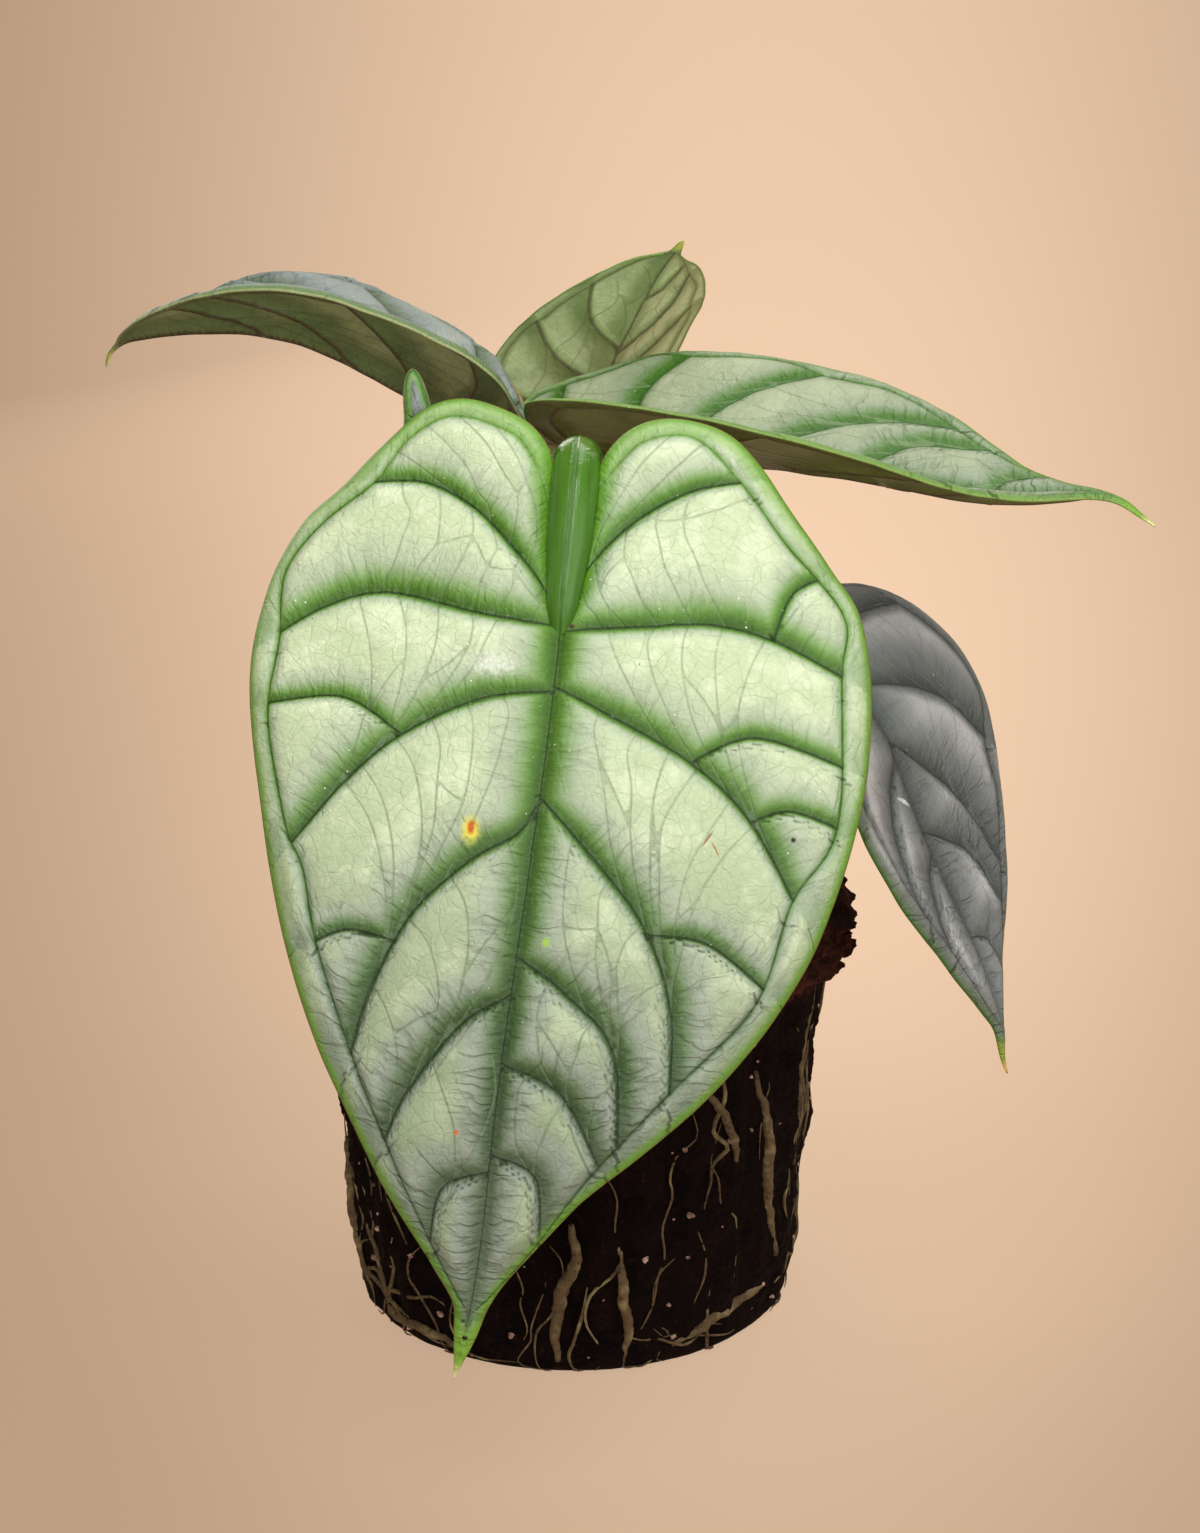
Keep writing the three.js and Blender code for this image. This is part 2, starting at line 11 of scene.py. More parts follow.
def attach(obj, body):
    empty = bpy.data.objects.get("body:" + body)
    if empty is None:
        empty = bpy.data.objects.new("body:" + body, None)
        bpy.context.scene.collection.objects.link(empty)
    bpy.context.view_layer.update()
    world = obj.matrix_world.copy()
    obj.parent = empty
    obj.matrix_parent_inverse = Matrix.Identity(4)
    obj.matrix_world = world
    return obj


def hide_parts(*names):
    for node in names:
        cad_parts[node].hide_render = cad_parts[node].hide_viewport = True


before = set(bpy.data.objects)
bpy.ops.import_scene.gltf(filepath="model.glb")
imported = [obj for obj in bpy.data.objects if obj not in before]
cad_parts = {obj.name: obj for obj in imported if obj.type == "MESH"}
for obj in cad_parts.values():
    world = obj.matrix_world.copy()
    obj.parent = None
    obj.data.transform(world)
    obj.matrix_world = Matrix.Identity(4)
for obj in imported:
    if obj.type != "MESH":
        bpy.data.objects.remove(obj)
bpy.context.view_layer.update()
mm = 0.001
chance = np.random.default_rng(7)
print("frame loaded,", len(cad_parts), "nodes")


# Camera, lights and backdrop

view = {
    "place": (5.4, -545, 273.4),
    "tiltDown": 16.4,  # degrees below level
    "lens": 65.75,
    "sensor": 36,
}
lights = [
    {"name": "keyLight", "place": (40, -560, 1060), "aim": (0, -20, 130), "size": 600, "power": 7.0},
    {"name": "rightLight", "place": (780, -560, 420), "aim": (0, 0, 110), "size": 700, "power": 3.2},
    {"name": "frontLight", "place": (-100, -960, 360), "aim": (0, 0, 120), "size": 700, "power": 3.8},
    {"name": "topLight", "place": (120, 360, 1050), "aim": (0, 0, 150), "size": 700, "power": 4},
    {"name": "backLight", "place": (-420, 900, 420), "aim": (0, 0, 120), "size": 700, "power": 3},
]
lightTint = (252, 251, 250)
backdrop = {
    "front": -4000,
    "bend": 900,  # where the floor starts to rise
    "bendRadius": 700,
    "height": 2600,
    "halfWidth": 4000,
    "tint": (245, 212, 181),
    "shade": (186, 157, 130),
    "behind": (176, 157, 135),  # behind the camera, where it meets the air
    "glow": 0.78,  # the share of its brightness that doesn't depend on the lights
}
skyTint = (255, 228, 198)
skyStrength = 0.34


def linear(tint):
    # a display colour, 0 to 255, as the linear colour that a shader takes
    shares = [value / 255 for value in tint]
    return tuple(s / 12.92 if s <= 0.04045 else ((s + 0.055) / 1.055) ** 2.4 for s in shares) + (1.0,)


def makeCamera():
    camera = bpy.data.objects.new("camera", bpy.data.cameras.new("camera"))
    camera.location = Vector(view["place"]) * mm
    camera.rotation_euler = (math.radians(90 - view["tiltDown"]), 0, 0)
    camera.data.lens = view["lens"]
    camera.data.sensor_width = view["sensor"]
    camera.data.clip_start = 0.01
    bpy.context.scene.collection.objects.link(camera)
    bpy.context.scene.camera = camera


def makeLights():
    for light in lights:
        lamp = bpy.data.lights.new(light["name"], "AREA")
        lamp.size = light["size"] * mm
        lamp.energy = light["power"]
        lamp.color = linear(lightTint)[:3]
        holder = bpy.data.objects.new(light["name"], lamp)
        holder.location = Vector(light["place"]) * mm
        aim = Vector(light["aim"]) - Vector(light["place"])
        holder.rotation_euler = aim.to_track_quat("-Z", "Y").to_euler()
        bpy.context.scene.collection.objects.link(holder)
    world = bpy.data.worlds.new("studioAir")
    world.use_nodes = True
    air = world.node_tree.nodes["Background"]
    air.inputs["Color"].default_value = linear(skyTint)
    air.inputs["Strength"].default_value = skyStrength
    bpy.context.scene.world = world
    bpy.context.scene.view_settings.view_transform = "Standard"


# Shader sockets in Python arithmetic

class Wire:
    material = None  # the one that is being made
    tree = None  # and its node tree, which new nodes go into

    def __init__(self, socket):
        self.socket = socket

    @classmethod
    def node(cls, kind, settings=None, sockets=None, output=0):
        made = cls.tree.nodes.new(kind)
        for setting, value in (settings or {}).items():
            setattr(made, setting, value)
        for key, value in (sockets or {}).items():
            if isinstance(value, Wire):
                cls.tree.links.new(value.socket, made.inputs[key])
            else:
                made.inputs[key].default_value = value
        return cls(made.outputs[output])

    @classmethod
    def math(cls, operation, first, second=0.0):
        return cls.node("ShaderNodeMath", {"operation": operation}, {0: first, 1: second})

    def __add__(self, other):
        return Wire.math("ADD", self, other)

    def __radd__(self, other):
        return Wire.math("ADD", other, self)

    def __sub__(self, other):
        return Wire.math("SUBTRACT", self, other)

    def __rsub__(self, other):
        return Wire.math("SUBTRACT", other, self)

    def __mul__(self, other):
        return Wire.math("MULTIPLY", self, other)

    def __rmul__(self, other):
        return Wire.math("MULTIPLY", other, self)


def rising(value, low, high):  # 0 up to low, 1 from high on, eased between them
    ends = {"Value": value, "From Min": low, "From Max": high}
    return Wire.node("ShaderNodeMapRange", {"interpolation_type": "SMOOTHSTEP"}, ends)


def falling(value, low, high):
    return 1 - rising(value, low, high)


def mixed(first, second, share):  # of display colours or wires
    first, second = (linear(end) if isinstance(end, tuple) else end for end in (first, second))
    ends = {0: share, 6: first, 7: second}
    return Wire.node("ShaderNodeMix", {"data_type": "RGBA"}, ends, output=2)


def layered(colour, *layers):  # each layer is a colour and its share
    for tint, share in layers:
        colour = mixed(colour, tint, share)
    return colour


def attribute(name):
    return Wire.node("ShaderNodeAttribute", {"attribute_name": name}, output=1)


def parts(vector):
    return [Wire.node("ShaderNodeSeparateXYZ", {}, {0: vector}, output=i) for i in range(3)]


def joined(x, y, z=0.0):
    return Wire.node("ShaderNodeCombineXYZ", {}, {"X": x, "Y": y, "Z": z})


def vectorMath(operation, first, second):
    return Wire.node("ShaderNodeVectorMath", {"operation": operation}, {0: first, 1: second})


def scaled(vector, factors):
    return vectorMath("MULTIPLY", vector, factors)


def cloudy(place, scale, detail=3.0, roughness=0.5):  # noise between 0 and 1, about 0.5
    sockets = {"Vector": place, "Scale": scale, "Detail": detail, "Roughness": roughness}
    return Wire.node("ShaderNodeTexNoise", {}, sockets)


def cellEdges(place, scale, randomness=1.0):  # distance to the border of the nearest cell
    sockets = {"Vector": place, "Scale": scale, "Randomness": randomness}
    return Wire.node("ShaderNodeTexVoronoi", {"feature": "DISTANCE_TO_EDGE"}, sockets)


def dots(place, scale, radius, share):  # round dots in a share of the cells
    sockets = {"Vector": place, "Scale": scale}
    distance = Wire.node("ShaderNodeTexVoronoi", {}, sockets)
    draw = parts(Wire.node("ShaderNodeTexVoronoi", {}, sockets, output=1))[0]
    return falling(distance, radius * 0.6, radius) * rising(draw, 1 - share, 1.001 - share)


def warped(place, amount, scale):
    sockets = {"Vector": place, "Scale": scale, "Detail": 1.0}
    shift = Wire.node("ShaderNodeTexNoise", {}, sockets, output=1)
    centred = vectorMath("SUBTRACT", shift, (0.5,) * 3)
    return vectorMath("ADD", place, scaled(centred, (amount,) * 3))


def objectPlace():  # in millimetres
    return scaled(Wire.node("ShaderNodeTexCoord", output=3), (1 / mm,) * 3)


def newMaterial(name):
    made = bpy.data.materials.new(name)
    made.use_nodes = True
    made.node_tree.nodes.clear()
    Wire.material, Wire.tree = made, made.node_tree


def surface(colour, roughness, height=None, **constants):  # ends the material; height in millimetres
    sockets = {"Base Color": colour, "Roughness": roughness}
    if height is not None:
        bump = {"Height": height, "Distance": mm, "Strength": 1.0}
        sockets["Normal"] = Wire.node("ShaderNodeBump", {}, bump)
    for socket, value in constants.items():
        sockets[socket.replace("_", " ")] = value
    shader = Wire.node("ShaderNodeBsdfPrincipled", {}, sockets)
    output = Wire.tree.nodes.new("ShaderNodeOutputMaterial")
    Wire.tree.links.new(shader.socket, output.inputs["Surface"])
    return Wire.material


# Meshes

def makePiece(name, vertices, faces, materials, slots=None, vectors=None):
    mesh = bpy.data.meshes.new(name)
    mesh.from_pydata((np.asarray(vertices) * mm).tolist(), [], [list(map(int, face)) for face in faces])
    for material in materials:
        mesh.materials.append(material)
    if slots is not None:
        mesh.polygons.foreach_set("material_index", np.asarray(slots, np.int32))
    for label, values in (vectors or {}).items():
        layer = mesh.attributes.new(label, "FLOAT_VECTOR", "POINT")
        layer.data.foreach_set("vector", np.asarray(values, np.float32).ravel())
    mesh.shade_smooth()
    mesh.update()
    piece = bpy.data.objects.new(name, mesh)
    bpy.context.scene.collection.objects.link(piece)
    return piece


def handOver(piece, nodes=()):
    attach(piece, "root")
    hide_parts(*nodes)
    mesh = piece.data
    print("  ", piece.name, sum(len(p.vertices) - 2 for p in mesh.polygons), "triangles")


def polar(radius, turn, z):
    return [radius * math.cos(turn), radius * math.sin(turn), z]


def ringFaces(rings, sides):
    # faces between rings of points, and from the two points after them to the end rings
    faces = []
    last = (rings - 1) * sides
    tips = rings * sides
    for i in range(sides):
        j = (i + 1) % sides
        faces += [(low + i, low + j, low + sides + j, low + sides + i) for low in range(0, last, sides)]
        faces += [(tips, j, i), (tips + 1, last + i, last + j)]
    return faces


def tubeMesh(path, radii, sides):
    # a closed tube round a path of points, with the cross-section carried along without twist
    path = np.asarray(path, float)
    tangents = np.gradient(path, axis=0)
    tangents /= np.linalg.norm(tangents, axis=1)[:, None]
    helper = np.array([0.0, 0.0, 1.0]) if abs(tangents[0][2]) < 0.9 else np.array([1.0, 0.0, 0.0])
    normal = np.cross(tangents[0], helper)
    turns = 2 * np.pi * np.arange(sides) / sides
    rings = []
    for centre, tangent, radius in zip(path, tangents, radii):
        normal = normal - tangent * normal.dot(tangent)
        normal /= np.linalg.norm(normal)
        side = np.cross(tangent, normal)
        circle = np.outer(np.cos(turns), normal) + np.outer(np.sin(turns), side)
        rings.append(centre + radius * circle)
    return np.concatenate(rings + [path[:1], path[-1:]]), ringFaces(len(path), sides)


def gathered(meshes):  # several meshes as one
    vertices, faces, start = [], [], 0
    for points, polygons in meshes:
        vertices.append(points)
        faces += [tuple(corner + start for corner in polygon) for polygon in polygons]
        start += len(points)
    return np.concatenate(vertices), faces


# Curves

def cubic(start, end, leave, arrive, t):
    # the curve from start to end that has the given directions there
    bend = (2 * start - 2 * end + leave + arrive) * t**3
    return bend + (-3 * start + 3 * end - 2 * leave - arrive) * t**2 + leave * t + start


def smoothLine(points, step):
    # a smooth line through plan points, with a point about every step
    points = np.asarray(points, float)
    padded = np.vstack([points[:1], points, points[-1:]])
    t = np.linspace(0, 1, 24, endpoint=False)[:, None]
    pieces = []
    for before, start, end, after in zip(padded, padded[1:], padded[2:], padded[3:]):
        pieces.append(cubic(start, end, (end - before) / 2, (after - start) / 2, t))
    return respaced(np.vstack(pieces + [points[-1:]]), step)


def respaced(line, step):
    runs = np.concatenate([[0], np.cumsum(np.linalg.norm(np.diff(line, axis=0), axis=1))])
    count = max(1, round(runs[-1] / step))
    wanted = np.linspace(0, runs[-1], count + 1)
    return np.stack([np.interp(wanted, runs, line[:, i]) for i in range(line.shape[1])], axis=1)


def route(points, steps):
    # a curve in space through the points that doesn't overshoot where they lie close
    points = np.asarray(points, float)
    padded = np.vstack([2 * points[0] - points[1], points, 2 * points[-1] - points[-2]])
    t = np.linspace(0, 1, 40, endpoint=False)[:, None]
    pieces = []
    for a, b, c, d in zip(padded, padded[1:], padded[2:], padded[3:]):
        ab, bc, cd = (math.sqrt(np.linalg.norm(q - p)) for p, q in ((a, b), (b, c), (c, d)))
        leave = ((b - a) / ab - (c - a) / (ab + bc) + (c - b) / bc) * bc
        arrive = ((c - b) / bc - (d - b) / (bc + cd) + (d - c) / cd) * bc
        pieces.append(cubic(b, c, leave, arrive, t))
    dense = np.vstack(pieces + [points[-1:]])
    length = np.linalg.norm(np.diff(dense, axis=0), axis=1).sum()
    return respaced(dense, length / steps)


def spread(values, count):  # a short list of values as count values evenly along it
    return np.interp(np.linspace(0, len(values) - 1, count), range(len(values)), values)


def valuesAt(values, shares):  # a short list of values, read at shares of its length
    return np.interp(shares, np.linspace(0, 1, len(values)), values)


# The leaf plan: the front leaf laid flat, as [across, along] from the stalk

tipReach = 142
leafPlan = {
    "leftEdge": [
        [0, 0], [-1.6, -2], [-3, -8], [-3.7, -19], [-4.3, -31], [-8.4, -38], [-15, -42], [-23, -44],
        [-30, -42], [-37, -35], [-45, -26], [-52, -19], [-57, -8], [-59, 6], [-58, 18], [-55, 31],
        [-50, 47], [-44, 64], [-35, 82], [-26, 96], [-16, 111], [-8, 121], [-3.4, 127], [-2, 133],
        [0, tipReach],
    ],
    "rightEdge": [
        [0, 0], [1.6, -2], [3, -8], [3.7, -19], [4.2, -30], [7.6, -37], [13, -41], [20, -42],
        [28, -40], [34, -35], [41, -26], [49, -16], [55, -8], [58, 4], [59, 18], [58, 31],
        [55, 47], [51, 60], [44, 74], [36, 86], [26, 97], [16, 107], [7, 119], [3.4, 126],
        [2, 133], [0, tipReach],
    ],
    "midrib": [[0, 0], [0, 70], [0, 138]],
    "laterals": [
        [[-1, -1], [-4, -6], [-9, -12], [-18, -21], [-28, -26], [-38, -26]],
        [[-1, 2], [-15, 0], [-33, -4], [-45, -1], [-54, 5]],
        [[0, 15], [-13, 17], [-27, 25], [-36, 35], [-44, 48]],
        [[0, 36], [-3, 42], [-11, 48], [-20, 59], [-25, 73], [-27, 86]],
        [[0, 71], [-8, 77], [-16, 90], [-19, 99]],
        [[0, 102], [-8, 106], [-9, 117]],
        [[1, -1], [4, -10], [12, -20], [22, -27], [32, -30]],
        [[1, 3], [13, 1], [28, -1], [40, 1], [53, 6]],
        [[0, 14], [10, 18], [26, 25], [38, 34], [48, 48]],
        [[0, 35], [9, 43], [21, 55], [28, 69], [30, 86]],
        [[0, 64], [9, 69], [19, 78], [22, 96]],
        [[0, 83], [11, 87], [19, 99]],
        [[0, 99], [8, 102], [10, 112]],
    ],
    "branches": [
        [[-27, 25], [-39, 18], [-54, 20]],
        [[-22, 64], [-31, 63], [-38, 67]],
        [[39, 0], [42, -9], [48, -13]],
        [[26, 25], [37, 19], [54, 22]],
        [[38, 34], [45, 31], [55, 33]],
        [[22, 57], [33, 57], [45, 64]],
    ],
    "collecting": [
        [
            [-6.5, -29], [-12, -36], [-23.6, -39.6], [-32, -35], [-37.2, -26.4], [-46.6, -18.4],
            [-53.4, -8.6], [-52.8, 5], [-52.6, 23.6], [-45.8, 44.2], [-41, 52.4], [-36, 66.4],
            [-26.4, 85], [-18.4, 99.2], [-8.6, 116.4], [-1, 127],
        ],
        [
            [6.5, -29], [12, -35.8], [21.6, -37.6], [31.2, -29.2], [40, -18.4], [51.8, -6], [52, 6],
            [53.6, 32.6], [47, 47.4], [42.8, 66.4], [29.2, 85.2], [17.4, 101.4], [7.6, 117.4],
            [1, 127],
        ],
    ],
}
relief = {
    "thickness": 0.9,
    "edgeThickness": 0.35,
    "edgeTaper": 1.2,  # how far from the edge the blade gets thinner
    "edgeFade": 5,  # and how far its swelling does
    "marginRoll": 3,
    "rollDrop": 0.5,  # how far the edge rolls down
    "midribSlope": 3.4,  # how far the quilting slopes down to the midrib
    "upperSlope": 5.2,  # to a vein from the stalk's side
    "lowerSlope": 2.2,  # and from the tip's side
    "sinkAlong": [0.9, 1, 0.9, 0.6],  # how deep a lateral is sunk from its start to its end
    "branchSink": 0.75,
    "collectingSink": 0.6,
    "crease": 0.22,  # depth of the fine veins
    "creaseWidth": 0.9,
    "unevenness": 0.35,
    "unevenScale": 0.09,
    "midribRib": 1.3,  # how far the veins stand out below
    "lateralRib": 0.75,
}
# the green bands are partly the veins' own colour and partly painted shade: wider on the stalk's side
# of each vein, where the quilting slopes down into it
band = {  # half widths of the green bands along the veins
    "midrib": [4.4, 4.4, 3.4, 2.6, 1.6],
    "lateralUpper": [3.0, 4.2, 4.2, 3.6],
    "lateralLower": [1.5, 1.3, 1.0],
    "branchUpper": [2.8, 2.4],
    "branchLower": [0.9, 0.8],
    "beforeStart": 0.7,  # round the end of a vein at the midrib
    "inLobes": 0.72,  # the share of their width that the lobes' lowest veins have
    "inner": 2.6,  # beside the notch
    "collecting": [1.1, 0.9, 0.8],
}
fineVein = {
    "shares": (0.16, 0.92),  # where along a lateral the first and the last one leave
    "unevenShare": 0.012,
    "lobeShift": -0.3,  # how far back towards the stalk they end in the lobes
    "shift": 0.24,  # and how far outward elsewhere
    "lastEnd": 0.94,
    "shortest": 4,
    "lean": 0.3,  # how far the bulge of an arc leans along it
    "bulge": (0.12, 0.2),  # shares of its length
    "wander": 0.3,  # unevenness of its points
    "linkShare": 0.55,  # of the neighbours that are linked
    "linkWander": 0.5,
}


def scaledPlan(leaf):
    across, along, leftLobe, rightLobe = leaf["scale"]
    flip = -1 if leaf["mirrored"] else 1
    lobeDepth = 25  # where a taper of the lobes is full

    def placed(points):
        x, y = np.asarray(points, float).T
        stretch = np.where(y > 0, along, np.where(x > 0, rightLobe, leftLobe))
        x = x * (1 - leaf["lobeTaper"] * np.clip(-y / lobeDepth, 0, 1))
        return np.stack([x * across * flip, y * stretch], 1)

    def vein(points, kind):
        # hand is the side of the line, as a sign, that faces the stalk
        hand = 0 if kind == "midrib" else (1 if points[-1][0] < 0 else -1) * flip
        wide = band["inLobes"] if points[-1][1] < -20 else 1
        return {"points": placed(points), "kind": kind, "hand": hand, "wide": wide}

    veins = [vein(leafPlan["midrib"], "midrib")]
    laterals = [points for i, points in enumerate(leafPlan["laterals"]) if i not in leaf["omitted"]]
    veins += [vein(points, "lateral") for points in laterals]
    if not leaf["omitted"]:
        veins += [vein(points, "branch") for points in leafPlan["branches"]]
    edges = [leafPlan["leftEdge"], leafPlan["rightEdge"]]
    return {
        "edges": [placed(edge) for edge in edges][::flip],
        "veins": veins,
        "inner": [placed(edge[1:5]) for edge in edges],  # beside the notch
        "collecting": [placed(points) for points in leafPlan["collecting"]],
        "fine": [placed(points) for points in fineVeins(leaf["fineSpacing"])],
        "flip": flip,
    }


def fineVeins(spacing):
    # arcs that leave a lateral squarely and bend outward, or in the lobes come in from the edge
    draw = np.random.default_rng(3)
    begin, stop = fineVein["shares"]

    def at(line, share):
        return line[int(round(np.clip(share, 0, 1) * (len(line) - 1)))]

    lines = []
    for side, rim in ((leafPlan["laterals"][:6], 0), (leafPlan["laterals"][6:], 1)):
        curves = [smoothLine(points, 0.5) for points in [leafPlan["collecting"][rim][:5]] + side]
        for number, (upper, lower) in enumerate(zip(curves, curves[1:])):
            shift = fineVein["lobeShift"] if number < 2 else fineVein["shift"]
            lean = fineVein["lean"] if shift < 0 else -fineVein["lean"]
            arcs = []
            for share in np.arange(begin, stop, 2 * spacing / min(len(upper), len(lower))):
                share += draw.normal(0, fineVein["unevenShare"])
                target = share * (1 + shift) if shift < 0 else share + shift * (1 - 0.4 * share)
                start, end = at(upper, share), at(lower, target)
                length = np.linalg.norm(start - end)
                if target > fineVein["lastEnd"] or length < fineVein["shortest"]:
                    continue
                inward = (at(lower, 0) - at(lower, 1)) * 0.5 + (start - end) * lean
                bulge = inward / np.linalg.norm(inward) * length * draw.uniform(*fineVein["bulge"])
                arc = [start]
                for part in (0.2, 0.4, 0.6, 0.8):
                    bent = bulge * 4 * part * (1 - part) + draw.normal(0, fineVein["wander"], 2)
                    arc.append(start + (end - start) * part + bent)
                arcs.append(arc + [end])
            lines += arcs
            for first, second in zip(arcs, arcs[1:]):
                pick = int(draw.integers(2, 4))
                ends = first[pick], second[5 - pick]
                joint = (ends[0] + ends[1]) / 2 + draw.normal(0, fineVein["linkWander"], 2)
                if draw.random() < fineVein["linkShare"]:
                    lines.append([ends[0], joint, ends[1]])
    return lines


def nearest(points, starts, ends):
    # for each point: distance to the nearest segment, its index, the share along it and its side
    pairsAtOnce = 4_000_000
    runs = ends - starts
    lengthSquared = np.maximum((runs**2).sum(1), 1e-9)
    found = []
    for chunk in np.array_split(points, max(1, len(points) * len(starts) // pairsAtOnce)):
        gap = chunk[:, None] - starts
        share = np.clip((gap * runs).sum(2) / lengthSquared, 0, 1)
        squared = ((gap - share[..., None] * runs) ** 2).sum(2)
        best = squared.argmin(1)
        row = np.arange(len(chunk))
        turn = runs[best, 0] * gap[row, best, 1] - runs[best, 1] * gap[row, best, 0]
        found.append((np.sqrt(squared[row, best]), best, share[row, best], np.sign(turn)))
    return [np.concatenate(column) for column in zip(*found)]


def toLines(points, lines):
    starts = np.vstack([line[:-1] for line in lines])
    ends = np.vstack([line[1:] for line in lines])
    return nearest(points, starts, ends)[0]


def insideLoop(points, loop):
    following = np.roll(loop, -1, axis=0)
    inside = np.zeros(len(points), bool)
    for (ax, ay), (bx, by) in zip(loop, following):
        crosses = (ay > points[:, 1]) != (by > points[:, 1])
        if crosses.any():
            reach = ax + (points[:, 1] - ay) * (bx - ax) / (by - ay if by != ay else 1e-9)
            inside ^= crosses & (points[:, 0] < reach)
    return inside


def planMesh(plan, step):
    # triangles of the flat blade, with edges along every vein
    insets = (0.45, 1.1)  # rows of points inside the outline, in steps
    rooms = (0.4, 0.6)  # how near other points a point of a row and of the grid may be, in steps
    weld = 0.12
    loop = np.vstack([smoothLine(plan["edges"][0], step), smoothLine(plan["edges"][1], step)[-2:0:-1]])
    lines = [vein["points"] for vein in plan["veins"]] + plan["collecting"] + plan["fine"]
    points = [tuple(p) for p in loop]
    edges = [(i, (i + 1) % len(loop)) for i in range(len(loop))]
    for line in lines:
        first = len(points)
        points += [tuple(p) for p in smoothLine(line, step)]
        edges += [(i, i + 1) for i in range(first, len(points) - 1)]
    along = np.roll(loop, -1, axis=0) - np.roll(loop, 1, axis=0)
    inward = np.stack([-along[:, 1], along[:, 0]], 1) / np.linalg.norm(along, axis=1)[:, None]
    inset = np.vstack([loop + inward * step * depth for depth in insets])
    lows, highs = loop.min(0), loop.max(0)
    rows = []
    for index, y in enumerate(np.arange(lows[1], highs[1], step * math.sin(math.pi / 3))):
        xs = np.arange(lows[0] + (index % 2) * step / 2, highs[0], step)
        rows.append(np.stack([xs, np.full(len(xs), y)], 1))
    for candidates, room in zip((inset, np.vstack(rows)), rooms):
        tree = kdtree.KDTree(len(points))
        for index, p in enumerate(points):
            tree.insert((*p, 0), index)
        tree.balance()
        within = candidates[insideLoop(candidates, loop)]
        points += [tuple(p) for p in within if tree.find((*p, 0))[2] > room * step]
    corners = [Vector(p) for p in points]
    flat, _, triangles, *_ = geometry.delaunay_2d_cdt(corners, edges, [], 1, weld)
    flat = np.array([tuple(p) for p in flat])
    triangles = np.array([t for t in triangles if len(t) == 3])
    triangles = triangles[insideLoop(flat[triangles].mean(1), loop)]
    first, second, third = (flat[triangles[:, i]] for i in range(3))
    along, over = second - first, third - first
    turned = along[:, 0] * over[:, 1] - along[:, 1] * over[:, 0] < 0
    triangles[turned] = triangles[turned][:, ::-1]
    used, triangles = np.unique(triangles, return_inverse=True)
    return flat[used], triangles.reshape(-1, 3), loop


# The leaf in space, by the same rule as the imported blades

def stationValues(leaf, name, along):
    table = leaf[name]
    if not isinstance(table, list):
        return np.full(len(along), float(table))
    return np.interp(along / leaf["length"], leaf["stations"], table)


def leafFrames(leaf, along):
    # at each place along: the way ahead, the way to the right and the way out of the upper face
    names = ("heading", "dive", "sweep", "roll")
    heading, dive, sweep, roll = (np.radians(stationValues(leaf, n, along))[:, None] for n in names)
    flat = np.cos(dive)
    forward = np.hstack([np.sin(heading) * flat, -np.cos(heading) * flat, -np.sin(dive)])
    level = np.hstack([np.cos(heading), np.sin(heading), 0 * heading])
    upright = np.cross(forward, level)
    ahead = forward * np.cos(sweep) + level * np.sin(sweep)
    level = level * np.cos(sweep) - forward * np.sin(sweep)
    across = level * np.cos(roll) + upright * np.sin(roll)
    return ahead, across, upright * np.cos(roll) - level * np.sin(roll)


def walkMidrib(leaf):
    # the midrib's places, a millimetre apart, from the lobes' reach behind the joint
    behind = 50
    marks = np.arange(-behind, math.ceil(leaf["length"]) + 2)
    steps = leafFrames(leaf, marks[:-1] + 0.5)[0]
    places = np.vstack([np.zeros(3), np.cumsum(steps, axis=0)])
    leaf["marks"] = marks
    leaf["places"] = places - places[behind] + np.array(leaf["joint"], float)


def midribPlaces(leaf, along):
    return np.stack([np.interp(along, leaf["marks"], leaf["places"][:, i]) for i in range(3)], 1)


def leafSurface(leaf, flat):
    # the points of the blade's middle and the directions out of its upper face
    along = flat[:, 1]
    forward, across, out = leafFrames(leaf, along)
    right = flat[:, 0] > 0
    fold, curl = (np.radians(np.where(right, *leaf[key][::-1])) for key in ("fold", "curl"))
    slope = fold + curl * np.abs(flat[:, 0])
    sign = np.where(right, 1, -1)
    outward = (np.sin(slope) - np.sin(fold)) / curl * sign
    lift = (np.cos(fold) - np.cos(slope)) / curl
    normals = out * np.cos(slope)[:, None] - across * (np.sin(slope) * sign)[:, None]
    points = midribPlaces(leaf, along) + across * outward[:, None] + out * lift[:, None]
    return points, normals


